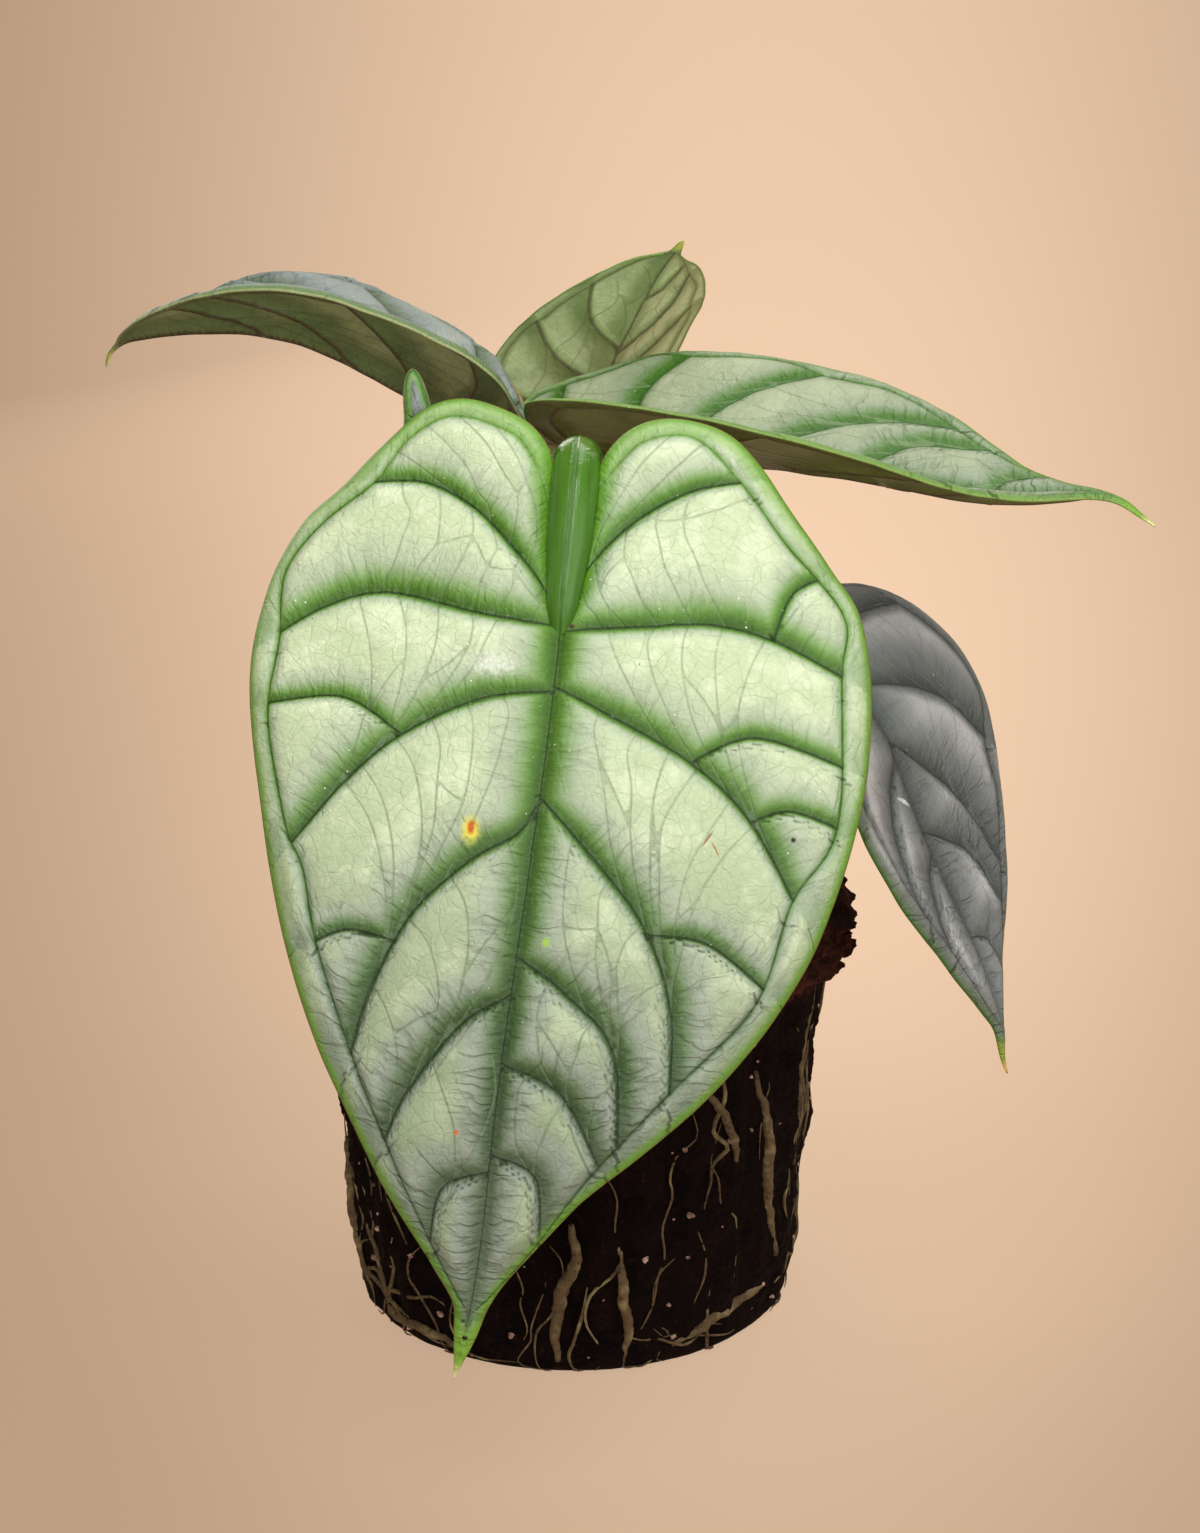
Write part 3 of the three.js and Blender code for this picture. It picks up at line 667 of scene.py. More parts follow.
def veinReadings(leaf, plan, flat):
    # what the veins do at each point of the blade
    size = leaf["scale"][0]
    wide = size * leaf["bands"]
    share = np.clip(flat[:, 1] / leaf["length"], 0, 1)
    patternGap = 60  # keeps the patterns along two veins apart
    thinner = 0.14  # of the midrib's groove
    bandPlace = second = np.full(len(flat), 9.0)  # far outside the bands
    least = collecting = np.full(len(flat), 99.0)  # and far from their lines
    run = sink = rib = np.zeros(len(flat))
    for number, vein in enumerate(plan["veins"]):
        kind = vein["kind"]
        line = smoothLine(vein["points"], 1.2)
        distance, index, part, side = nearest(flat, line[:-1], line[1:])
        done = (index + part) / (len(line) - 1)
        if kind == "midrib":
            width = valuesAt(band["midrib"], share)
            slope, strength = relief["midribSlope"], 1.0
            height, ribWidth = relief["midribRib"] * (1 - 0.75 * done), 2.0 - 1.2 * done
        else:
            toStalk = side * vein["hand"] > 0
            widthUp = valuesAt(band[kind + "Upper"], done)
            widthDown = valuesAt(band[kind + "Lower"], done) * (1 - 0.5 * share)
            width = np.where(toStalk, widthUp, widthDown) * vein["wide"] * (1 - 0.25 * share)
            width = np.where((index == 0) & (part <= 0), band["beforeStart"], width)
            slope = np.where(toStalk, relief["upperSlope"], relief["lowerSlope"])
            strength = valuesAt(relief["sinkAlong"], done)
            strength = strength * (relief["branchSink"] if kind == "branch" else 1)
            height, ribWidth = relief["lateralRib"] * (1 - 0.7 * done), 1.3 - 0.6 * done
        place = distance / (width * wide)
        closer = place < bandPlace
        second = np.minimum(second, np.maximum(place, bandPlace))
        bandPlace = np.where(closer, place, bandPlace)
        run = np.where(closer, (done * len(line) * 1.2 + patternGap * number), run)
        least = np.minimum(least, distance + (thinner if kind == "midrib" else 0))
        sink = np.maximum(sink, strength * np.exp(-distance / (slope * size)))
        ribShape = np.exp(-((distance / (ribWidth * size**0.5)) ** 2))
        rib = np.maximum(rib, height * size**0.5 * ribShape)
    seam = np.clip((second - bandPlace - 0.4) / 0.8, 0, 1)

    # outside the collecting veins, near the edge, the laterals have no band and no groove
    for hand, points in zip((-plan["flip"], plan["flip"]), plan["collecting"]):
        line = smoothLine(points, 1.5)
        distance, _, _, side = nearest(flat, line[:-1], line[1:])
        outside = (side * hand < 0) & (flat[:, 0] * hand > 0)
        outside = outside & (distance > 0.1) & (distance < 12 * size)
        bandPlace = np.where(outside, np.maximum(bandPlace, 1.25), bandPlace)
        collecting = np.minimum(collecting, distance)
        least = np.where(outside, np.maximum(least, distance), least)
    width = valuesAt(band["collecting"], share)
    bandPlace = np.minimum(bandPlace, 0.45 + collecting / (width * wide))
    slope = relief["lowerSlope"] * size
    inner = toLines(flat, [smoothLine(points, 1.5) for points in plan["inner"]])
    return {
        "band": np.minimum(bandPlace, inner / (band["inner"] * wide)),  # 1 at a band's end
        "run": run,  # how far along the vein
        "seam": seam,  # 0 where two veins are as near as each other
        "vein": least,  # distance from a vein's line
        "sink": np.maximum(sink, relief["collectingSink"] * np.exp(-collecting / slope)),
        "rib": rib,  # how far it stands out below
        "collecting": collecting,
    }


def rimEdges(triangles):
    edges = np.vstack([triangles[:, [0, 1]], triangles[:, [1, 2]], triangles[:, [2, 0]]])
    known = set(map(tuple, edges.tolist()))
    return [(a, b) for a, b in known if (b, a) not in known]


def makeBlade(name, leaf):
    leaf["length"] = tipReach * leaf["scale"][1]
    walkMidrib(leaf)
    plan = scaledPlan(leaf)
    size = leaf["scale"][0]
    flat, triangles, loop = planMesh(plan, leaf["fineness"])
    veins = veinReadings(leaf, plan, flat)
    edge = toLines(flat, [np.vstack([loop, loop[:1]])])
    fine = toLines(flat, [smoothLine(points, 1.6) for points in plan["fine"]])
    swell = leaf["swell"] * (1 - veins["sink"]) * np.minimum(1, edge / (relief["edgeFade"] * size))
    crease = relief["crease"] * size**0.5
    swell -= crease * np.exp(-fine / relief["creaseWidth"]) * np.minimum(1, edge / 4)
    lumps = [noise.noise(Vector((*p, 0)) * relief["unevenScale"] / size) for p in flat]
    swell += relief["unevenness"] * size * np.array(lumps)
    rolled = np.clip(1 - edge / (relief["marginRoll"] * size), 0, 1)
    height = swell - relief["rollDrop"] * rolled**2
    thin, thick = relief["edgeThickness"], relief["thickness"]
    half = (thin + (thick - thin) * np.minimum(1, edge / relief["edgeTaper"])) / 2
    points, normals = leafSurface(leaf, flat)
    top = points + normals * (height + half)[:, None]
    below = points + normals * (height - half - veins["rib"] * np.minimum(1, edge / 3))[:, None]
    count = len(flat)
    faces = triangles[:, [0, 2, 1]].tolist() + (triangles + count).tolist()
    rim = rimEdges(triangles)
    faces += [(a, b, count + b, count + a) for a, b in rim]
    slots = [0] * len(triangles) + [1] * len(triangles) + [0] * len(rim)
    share = flat[:, 1] / leaf["length"]
    vectors = {
        "plan": np.stack([flat[:, 0], flat[:, 1], share], 1),
        "veins": np.stack([veins["band"], veins["run"], veins["vein"]], 1),
        "edges": np.stack([edge, veins["collecting"], fine], 1),
        "seams": np.stack([veins["seam"], 0 * edge, 0 * edge], 1),
    }
    vectors = {label: np.vstack([values, values]) for label, values in vectors.items()}
    skins = [bladeTop(name, leaf), bladeUnder(name, leaf)]
    piece = makePiece(f"{name}_blade_skin", np.vstack([top, below]), faces, skins, slots, vectors)
    handOver(piece, [f"blade_{name}"])


# Leaf colours

def bladeTop(name, leaf):
    look = leaf["top"]
    size = leaf["scale"][0]
    newMaterial(f"{name}_blade_top")
    across, along, share = parts(attribute("plan"))
    place, run, vein = parts(attribute("veins"))
    edge, collecting, fine = parts(attribute("edges"))
    flat = joined(across, along)
    clouds = cloudy(flat, 0.075, 3.0)
    mottle = cloudy(flat, 0.5, 4.0, 0.6)
    seam = parts(attribute("seams"))[0]
    streaks = (cloudy(joined(run * 1.1, place * 0.7), 1.0, 3.0, 0.6) - 0.5) * seam
    soft = place + streaks * 0.38 + (clouds - 0.5) * 0.6
    # towards the tip the panels, seams and bands take their greyer, darker Low colours: partly the
    # leaf's own tone, partly painted shade where the hanging tip turns from the light
    lower = rising(share, 0.02, 0.72)

    # pale panels, a silvery seam round them and green along the veins: partly their own colour, partly
    # painted shade down the quilting's slopes
    toned = ("panel", "silver", "band", "deep")
    panel, silver, green, deep = (mixed(look[key], look[key + "Low"], lower) for key in toned)
    patches = clouds + (mottle - 0.5) * 0.25 + (cloudy(flat, 0.24, 3.0) - 0.5) * 0.5
    panel = mixed(panel, look["bright"], rising(patches, 0.44, 0.66) * (0.75 - lower * 0.55))
    bandShare = look["bandStrength"] - rising(share, 0.55, 0.85) * 0.35
    colour = layered(
        mixed(silver, panel, rising(soft, 1.3, 3.0)),
        (green, falling(soft, 0.35, look["bandEnd"]) * bandShare),
        (deep, falling(soft, 0.0, 0.8) * bandShare * 0.78),
    )
    # painted shade: the right half of the blade is darkened as if it were turned away from the light
    if look["rightShadeShare"]:
        dim = scaled(colour, (0.3,) * 3)
        colour = mixed(colour, dim, rising(across, 0.0, 18.0) * look["rightShadeShare"])

    # the strip outside the vein near the edge, and the green edge
    inLobes = falling(along, -34.0 * size, -12.0 * size)
    strip = falling(edge + (clouds - 0.5) * 2.0, 3.0 * size, 5.0 * size)
    marginWidth = look["margin"] * (0.6 + size * 0.4)
    margin = falling(edge + (mottle - 0.5) * 0.7, marginWidth * 0.3, marginWidth * 1.35)
    colour = layered(
        colour,
        (mixed(green, look["strip"], inLobes), strip * (0.26 + inLobes * 0.39)),
        (look["rim"], margin * 0.92),
        (look["rimEdge"], falling(edge, 0.12, 0.4)),
    )

    # lines of the net and of the fine veins
    net = cellEdges(warped(flat, 1.4, 0.4), 0.55)
    mesh = cellEdges(warped(flat, 3.5, 0.16), 0.21)
    meshLines = falling(mesh, 0.004, 0.034) * rising(place, 0.6, 1.6)
    fineLines = falling(fine + (mottle - 0.5) * 0.1, 0.04, 0.34)
    fineShare = look["lineStrength"] * (0.55 + rising(clouds, 0.4, 0.6) * 0.35 + lower * 0.3)
    colour = layered(
        colour,
        (look["line"], falling(net, 0.01, 0.09) * 0.16 * look["lineStrength"]),
        (look["line"], meshLines * fineShare * 0.3),
        (look["line"], fineLines * fineShare),
    )

    # ripples that leave the veins and fade in the panels, and the dark grooves of the veins: partly
    # their own colour, partly painted shade in the creases
    bent = joined(run * 0.27 + (clouds - 0.5) * 1.8, place * 0.24)
    level = Wire.math("ABSOLUTE", cloudy(bent, 1.0, 2.0, 0.5) - 0.5)
    ripple = falling(level, 0.0, 0.06) * seam * falling(place, 1.2, 4.0) * rising(place, 0.1, 0.6)
    ripple = ripple * (0.45 + lower * 0.55)
    groove = falling(vein + (mottle - 0.5) * 0.2, 0.03, 0.2 * size + 0.14)
    collectLine = falling(collecting + (mottle - 0.5) * 0.2, 0.03, 0.18 * size + 0.12)
    colour = layered(
        colour,
        (look["groove"], ripple * 0.24),
        (look["groove"], groove * (0.55 + rising(mottle, 0.3, 0.6) * 0.35)),
        (look["groove"], collectLine * (0.65 - inLobes * 0.5)),
    )

    # the narrow tip, pale specks, more of them near the stalk, and dark grains in the grooves
    zone = rising(cloudy(flat, 0.05, 2.0), 0.45, 0.62) * (1 - lower * 0.8)
    grains = dots(flat, 0.75, 0.13, 0.3) * falling(vein, 0.25, 0.8) + dots(flat, 0.13, 0.03, 0.35)
    colour = layered(
        colour,
        (look["tip"], rising(share, 0.905, 0.95) * 0.92),
        (look["tipEnd"], rising(share, 0.965, 0.995)),
        (look["speck"], dots(flat, 0.62, 0.13, 0.4) * zone * 0.8),
        (look["grain"], grains * 0.85),
    )
    for spot in leaf["spots"]:
        spot = usualSpot | spot
        colour = mixed(colour, spot["tint"], spotMask(across, along, spot) * spot["strength"])

    wrinkles = cloudy(joined(run * 0.9, place * 0.4), 1.0, 2.0, 0.5) - 0.5
    wrinkles = wrinkles * falling(place, 0.9, 3.4) * seam * (0.3 + size * 0.7) * look["wrinkle"]
    leather = rising(net, 0.0, 0.22) * 0.06 + cloudy(flat, 1.7, 3.0, 0.6) * 0.12 + mottle * 0.16
    lines = meshLines * 0.06 + fineLines * 0.1 + groove * 0.15 + ripple * 0.22
    roughness = 0.5 + (mottle - 0.5) * 0.14 - falling(soft, 0.3, 1.2) * 0.1
    return surface(colour, roughness, wrinkles + leather - lines, Specular_IOR_Level=look["gloss"])


usualSpot = {
    "turn": 0,
    "core": 0.4,  # the share of its reach that is full
    "ragged": 0.5,
    "strength": 1,
}


def spotMask(across, along, spot):
    x, y = spot["at"]
    wide, long = spot["reach"]
    turn = math.radians(spot["turn"])
    dx = ((across - x) * math.cos(turn) + (along - y) * math.sin(turn)) * (1 / wide)
    dy = ((along - y) * math.cos(turn) - (across - x) * math.sin(turn)) * (1 / long)
    distance = Wire.math("SQRT", dx * dx + dy * dy)
    ragged = distance + (cloudy(joined(across, along), 1.1) - 0.5) * spot["ragged"]
    return falling(ragged, spot["core"], 1.0)


def bladeUnder(name, leaf):
    look = leaf["under"]
    size = leaf["scale"][0]
    newMaterial(f"{name}_blade_under")
    across, along, share = parts(attribute("plan"))
    place, _, vein = parts(attribute("veins"))
    edge, collecting, fine = parts(attribute("edges"))
    flat = joined(across, along)
    clouds = cloudy(flat, 0.11, 3.0)
    mottle = cloudy(flat, 0.5, 4.0, 0.6)
    shift = (mottle - 0.5) * 0.4
    fineLines = falling(fine + shift, 0.1 * size, 0.45 * size + 0.15)
    net = falling(cellEdges(warped(flat, 1.6, 0.35), 0.45), 0.015, 0.08)
    veinMask = falling(vein + shift, 0.3 * size**0.5, 1.0 * size**0.5)
    colour = layered(
        mixed(look["web"], look["pale"], rising(place + shift * 2 + clouds, 1.6, 3.4)),
        (look["deep"], rising(clouds, 0.5, 0.7) * 0.55),
        (look["deep"], fineLines * 0.35),
        (look["deep"], net * 0.14),
        (look["vein"], veinMask * look["veinStrength"]),
        (look["vein"], falling(collecting, 0.1, 0.5 * size + 0.15) * 0.45),
        (look["rim"], falling(edge + shift, 0.5 * size, 1.5 * size) * 0.85),
        (look["tip"], rising(share, 0.9, 0.95)),
        (leaf["top"]["tipEnd"], rising(share, 0.965, 0.995)),
    )
    height = cloudy(flat, 1.4, 3.0, 0.6) * 0.08 - net * 0.06 + fineLines * 0.12 + mottle * 0.12
    return surface(colour, 0.52 + (mottle - 0.5) * 0.1, height, Specular_IOR_Level=0.4)


silverTop = {
    "panel": (190, 209, 171),
    "panelLow": (140, 158, 128),
    "bright": (212, 227, 195),
    "silver": (176, 194, 166),
    "silverLow": (138, 150, 140),
    "band": (90, 142, 34),
    "bandLow": (68, 94, 56),
    "bandEnd": 1.65,
    "bandStrength": 0.96,
    "deep": (36, 70, 18),
    "deepLow": (38, 56, 34),
    "line": (104, 126, 96),
    "lineStrength": 0.5,
    "groove": (30, 46, 24),
    "margin": 1.9,
    "strip": (124, 172, 74),
    "rim": (98, 154, 38),
    "rimEdge": (116, 130, 48),
    "tip": (118, 164, 58),
    "tipEnd": (214, 220, 150),
    "speck": (236, 244, 226),
    "grain": (30, 34, 22),
    # painted shade on the right half, as if it were turned away from the light
    "rightShadeShare": 0,  # how much darker the right half is
    "wrinkle": 0.4,
    "gloss": 0.3,
}
greyTop = silverTop | {
    "panel": (142, 154, 150),
    "panelLow": (126, 138, 138),
    "bright": (156, 166, 160),
    "silver": (128, 140, 138),
    "silverLow": (114, 126, 126),
    "band": (92, 112, 88),
    "bandLow": (84, 104, 84),
    "deep": (66, 84, 58),
    "deepLow": (60, 80, 56),
    "line": (96, 108, 100),
    "rim": (84, 118, 60),
    "rimEdge": (140, 152, 104),
    "speck": (170, 180, 170),
}
darkTop = silverTop | {
    "panel": (190, 194, 196),
    "panelLow": (176, 180, 182),
    "bright": (198, 202, 202),
    "silver": (166, 171, 173),
    "silverLow": (150, 155, 157),
    "band": (96, 104, 102),
    "bandLow": (92, 99, 99),
    "bandEnd": 2.9,
    "deep": (50, 58, 54),
    "deepLow": (52, 59, 57),
    "line": (110, 118, 116),
    "lineStrength": 0.3,
    "groove": (44, 50, 48),
    "margin": 1.8,
    "rim": (90, 108, 86),
    "rimEdge": (64, 104, 40),
    "tip": (132, 152, 52),
    "tipEnd": (214, 176, 96),
    "speck": (190, 196, 190),
    "rightShadeShare": 0.35,
}
paleTop = silverTop | {
    "panel": (160, 174, 142),
    "panelLow": (152, 166, 140),
    "bright": (176, 188, 158),
    "silver": (148, 164, 134),
    "silverLow": (144, 160, 138),
    "band": (66, 116, 26),
    "bandLow": (74, 120, 44),
    "bandStrength": 1,
    "deep": (44, 90, 18),
    "deepLow": (54, 98, 30),
    "line": (128, 150, 112),
    "groove": (50, 92, 30),
    "rim": (98, 144, 58),
    "rimEdge": (120, 150, 70),
}
oliveUnder = {
    "web": (96, 116, 70),
    "pale": (134, 152, 104),
    "deep": (70, 90, 50),
    "vein": (66, 44, 34),
    "veinStrength": 0.75,
    "rim": (116, 144, 72),
    "tip": (214, 222, 100),
}
greenUnder = oliveUnder | {
    "web": (154, 176, 120),
    "pale": (198, 218, 170),
    "deep": (118, 144, 90),
    "veinStrength": 0.6,
    "rim": (124, 156, 76),
}
brownUnder = oliveUnder | {
    "web": (112, 118, 58),
    "pale": (134, 138, 80),
    "deep": (90, 98, 48),
    "vein": (88, 62, 40),
}
usualLeaf = {
    "stations": [-0.35, 0, 0.3, 0.6, 0.85, 0.95, 1],  # shares of the length that the angles are for
    "roll": 0,
    "lobeTaper": 0,
    "omitted": [],  # numbers of the laterals that a small leaf lacks
    "bands": 1,  # how wide its green bands are
    "mirrored": False,
    "fineness": 0.85,  # spacing of its mesh
    "spots": [],
}
leaves = {
    "front": usualLeaf | {
        "joint": [-1.6, -46, 155],  # where the stalk meets the midrib
        "scale": [1, 1, 1, 1],  # across, along, and along in the left and the right lobe
        "fineSpacing": 7,
        "stations": [-0.35, 0, 0.25, 0.5, 0.75, 0.93, 1],
        "heading": -3,  # degrees from the camera's way, to the right
        "dive": [56, 54, 57, 66, 78, 88, 90],  # below level
        "sweep": [-3, -3, -6, -7, -5, -12, -16],  # sideways in the blade
        "fold": [-2, -2],  # how the left and the right half rise from the midrib
        "curl": [-0.24, -0.24],  # and bend, in degrees for each millimetre
        "swell": 2.8,  # height of the quilting
        "fineness": 0.78,
        "slot": "leaf_silver_green",
        "top": silverTop,
        "under": greenUnder,
        "spots": [
            {"at": (-11.2, 42.4), "reach": (2.4, 3.4), "tint": (222, 214, 70), "core": 0.1},
            {"at": (-11.2, 42), "reach": (0.9, 1.7), "tint": (196, 98, 30)},
            {"at": (-6.2, 95.5), "reach": (0.6, 0.6), "tint": (206, 110, 56)},
            {"at": (-0.9, 129.7), "reach": (0.5, 0.5), "tint": (40, 52, 24)},
            {"at": (0.1, 132.9), "reach": (0.7, 0.6), "tint": (24, 26, 14)},
            {"at": (1.9, 2), "reach": (0.9, 0.6), "tint": (66, 40, 30)},
            {"at": (4.8, 60.9), "reach": (0.9, 1.1), "tint": (150, 192, 84)},
            {"at": (45.7, 36.1), "reach": (0.6, 0.6), "tint": (24, 30, 22)},
            {"at": (30.4, 38.6), "reach": (0.3, 2.6), "turn": 28, "tint": (150, 112, 70)},
            {"at": (32, 40.4), "reach": (0.25, 2), "turn": -34, "tint": (166, 130, 84)},
            {"at": (-11.3, 10.7), "reach": (6, 3), "tint": (222, 232, 220), "core": 0.0, "ragged": 1.8,
             "strength": 0.8},
        ],
    },
    "left_upper": usualLeaf | {
        "joint": [-24.9, 16, 181.4],
        "scale": [0.55, 0.57, 0.36, 0.36],
        "fineSpacing": 11,
        "omitted": [5, 12],
        "bands": 1.3,
        "mirrored": True,
        "heading": -89.4,
        "dive": [-27, -32, -27, 0, 14, 52, 70],
        "sweep": [-3, -3, 0, -5, -25, -34, -34],
        "fold": [27.5, 29.5],
        "curl": [-0.45, 0.08],
        "swell": 2.6,
        "slot": "leaf_blue_grey",
        "top": greyTop,
        "under": oliveUnder,
        "spots": [
            {"at": (26.7, -10.3), "reach": (6.5, 1.6), "turn": 38.8, "tint": (184, 128, 54)},
            {"at": (-19.8, -10.7), "reach": (6.5, 1.6), "turn": -40.8, "tint": (184, 128, 54)},
        ],
    },
    "back": usualLeaf | {
        "joint": [4.8, 64, 177],
        "scale": [0.447, 0.382, 0.4, 0.4],
        "fineSpacing": 13,
        "omitted": [4, 5, 10, 12],
        "bands": 1.3,
        "heading": 60,
        "dive": [-71, -71, -51, -51, -37, -45, -45],
        "sweep": [-2, -2, -21, -21, -30, -30, -30],
        "roll": -14.6,
        "fold": [25, 10.6],
        "curl": [0.17, 0.05],
        "swell": 1.1,
        "fineness": 0.8,
        "slot": "leaf_mid_green",
        "top": paleTop,
        "under": greenUnder,
    },
    "right_upper": usualLeaf | {
        "joint": [8.3, 24, 173.5],
        "scale": [0.6, 0.8, 0.22, 0.68],
        "fineSpacing": 11,
        "omitted": [5, 11],
        "bands": 1.45,
        "heading": 71,
        "dive": [-1, -2, 3, 9, -13, 27, 30],
        "sweep": [-10, -10, 0, 0, -4, -11, -11],
        "roll": 13.6,
        "fold": [21.7, 19.3],
        "curl": [1.03, -0.27],
        "swell": 1.5,
        "slot": "leaf_pale_green",
        "top": paleTop,
        "under": brownUnder,
    },
    "right_lower": usualLeaf | {
        "joint": [46.5, -5, 136],
        "scale": [0.6, 0.66, 0.55, 0.55],
        "fineSpacing": 11,
        "omitted": [5, 11],
        "bands": 1.9,
        "heading": 63,
        "dive": [11, 19, 69, 60, 67, 82, 60],
        "sweep": [0, 0, 0, 0, -3, -3, -3],
        "roll": 5,
        "fold": [1, 7],
        "curl": [0.63, 0.2],
        "swell": 1.4,
        "slot": "leaf_dark_grey",
        "top": darkTop,
        "under": oliveUnder,
        "spots": [
            {"at": (-4.8, 34.6), "reach": (2.7, 0.7), "turn": 37, "tint": (204, 212, 206)},
            {"at": (-4, 43.6), "reach": (0.4, 0.9), "turn": 20, "tint": (30, 34, 32)},
            {"at": (-5.3, 49.2), "reach": (0.35, 1), "turn": 20, "tint": (34, 38, 36)},
        ],
    },
    "left_inner": usualLeaf | {
        "joint": [-24.5, -23, 167],
        "scale": [0.34, 0.45, 0.5, 0.76],
        "lobeTaper": 0.5,
        "fineSpacing": 14,
        "omitted": [4, 5, 10, 12],
        "bands": 1.5,
        "mirrored": True,
        "heading": -8,
        "dive": [66, 68, 72, 76, 80, 72, 64],
        "sweep": [13, 0, 0, 0, 0, 0, 0],
        "fold": [6, 6],
        "curl": [0.1, 0.1],
        "swell": 1,
        "fineness": 0.8,
        "slot": "leaf_blue_grey",
        "top": greyTop | {"rim": (66, 122, 40), "margin": 1.5},
        "under": oliveUnder,
    },
}


# Stalks

stalks = {
    "ring": 7.5,
    "foot": 91,
    "sides": 24,
    "steps": 90,
    "patternTurn": 8.0,  # size of the pattern once round
    "endDepth": 0.8,  # share of the end's radius by which it lies below the blade
    "frontEnd": ((3, 1.3), (7, 2.6)),  # the front one's places along the midrib, and depths
    "tint": (66, 116, 26),
    "shade": (44, 86, 18),
    # painted highlight: whitish glints on the top of the front stalk's bend
    "glintTint": (196, 214, 178),
    "footTint": (134, 148, 84),
    "speck": (120, 168, 80),
    "routes": {
        "front": {
            "angle": -90,
            "through": [
                [1, -8, 115], [1.8, -9.6, 140], [2.2, -11.2, 158], [2.2, -13.6, 170], [1.8, -18, 177.5],
                [1.2, -24.6, 180], [0.8, -30.4, 176.9], [0.2, -35, 171.8], [-0.7, -40.9, 163.6],
                [-1.5, -45.7, 156.8],
            ],
            "radii": [3.3, 3.6, 3.9, 4.3, 4.6, 4.7, 4.7, 4.7, 4.7, 4.6, 4.2, 3.1, 1.2],
        },
        "left_upper": {
            "angle": 150,
            "through": [[-9, 8, 120], [-15, 12.5, 146], [-22, 15.3, 168]],
            "radii": [3.2, 2.9, 2.6, 2.3, 2],
        },
        "back": {
            "angle": 90,
            "through": [[0.5, 13, 118], [1.5, 28, 143], [3.5, 46, 160], [5.5, 56, 168]],
            "radii": [3.2, 2.9, 2.5, 2.2, 1.9],
        },
        "right_upper": {
            "angle": 30,
            "through": [[7, 7, 115], [7.5, 13, 138], [8, 20, 158]],
            "radii": [3.2, 3, 2.8, 2.5, 2.1],
        },
        "right_lower": {
            "angle": -30,
            "through": [[12, -6, 108], [24, -7, 122], [36, -6, 129.5]],
            "radii": [3.2, 2.9, 2.6, 2.3, 2],
        },
        "left_inner": {
            "angle": -150,
            "through": [[-10, -8, 114], [-15, -12, 136], [-19.5, -15.5, 153]],
            "radii": [3, 2.7, 2.4, 2.1, 1.8],
        },
    },
}


def stalkMaterial():
    newMaterial("stalk_skin")
    around, along, height = parts(attribute("plan"))
    place = joined(around, along, height)
    streaks = cloudy(joined(around * 1.4, along * 0.06), 1.0, 3.0, 0.6)
    mottle = cloudy(place, 0.35, 4.0, 0.6)
    bend = rising(height, 168.0, 182.0)
    colour = layered(
        mixed(stalks["tint"], stalks["shade"], rising(streaks, 0.4, 0.68) * 0.5),
        (stalks["footTint"], falling(height, 92.0, 122.0) * 0.75),
        (stalks["speck"], dots(place, 0.5, 0.1, 0.3) * 0.5),
        # painted highlight: whitish glints where the stalk's bend tops out, above 181 mm
        (stalks["glintTint"], rising(height, 181.0, 184.0) * rising(mottle, 0.56, 0.6) * 0.6),
    )
    bumps = streaks * 0.22 + mottle * (bend * 0.3 + 0.1)
    return surface(colour, 0.42 + (mottle - 0.5) * 0.14 - bend * 0.26, bumps, Coat_Weight=0.1)


def stalkCorners(name):
    # where a stalk starts in the stem base, and the places that it goes through
    given = stalks["routes"][name]
    return [polar(stalks["ring"], math.radians(given["angle"]), stalks["foot"])] + given["through"]


def makeStalk(name, leaf, skin):
    radii = stalks["routes"][name]["radii"]
    through = stalkCorners(name)
    if name == "front":
        for along, depth in stalks["frontEnd"]:
            points, normals = leafSurface(leaf, np.array([[0.0, along]]))
            through.append((points[0] - normals[0] * depth).tolist())
    else:
        out = leafFrames(leaf, np.zeros(1))[2][0]
        depth = radii[-1] * stalks["endDepth"]
        through.append((np.array(leaf["joint"]) - out * depth).tolist())
    steps, sides = stalks["steps"], stalks["sides"]
    vertices, faces = tubeMesh(route(through, steps), spread(radii, steps + 1), sides)
    turned = np.arange(sides) * stalks["patternTurn"] / sides
    around = np.append(np.tile(turned, steps + 1), [0, 0])
    along = np.append(np.repeat(np.arange(steps + 1) * 1.0, sides), [0, steps])
    plan = np.stack([around, along, vertices[:, 2]], 1)
    piece = makePiece(f"{name}_stalk_skin", vertices, faces, [skin], vectors={"plan": plan})
    handOver(piece, [f"stalk_{name}"])


# Root ball

ball = {
    "baseRadius": 45,
    "taper": 0.085,
    "ledgeStart": 75,
    "ledgeRadius": 56,
    "height": 88,
    "baseRounding": 2,
    "ribDepth": 0.55,
    "crumbDepth": 1.3,
    "around": 400,
    "rows": {"base": 14, "wall": 118, "ledge": 18, "top": 34},
    "tint": (20, 8, 6),
    "deep": (6, 2, 2),
    "warm": (62, 26, 18),
    "fibre": (60, 42, 30),
    # the ledge and top's colours: partly loose dry crumbs, partly painted light where the top of the
    # ball is lit
    "looseLitTint": (80, 42, 31),
    "looseLitDeep": (34, 16, 12),
    "looseLitWarm": (126, 78, 58),
    "speck": (196, 150, 136),
}


def ballRadius(turn, z):
    plain = ball["baseRadius"] + ball["taper"] * z
    ribs = np.sin(13 * turn + 1) + 0.8 * np.sin(29 * turn + 0.03 * z) + np.sin(0.21 * z + 3 * turn)
    return plain + ball["ribDepth"] * ribs * np.minimum(1, z / 6)


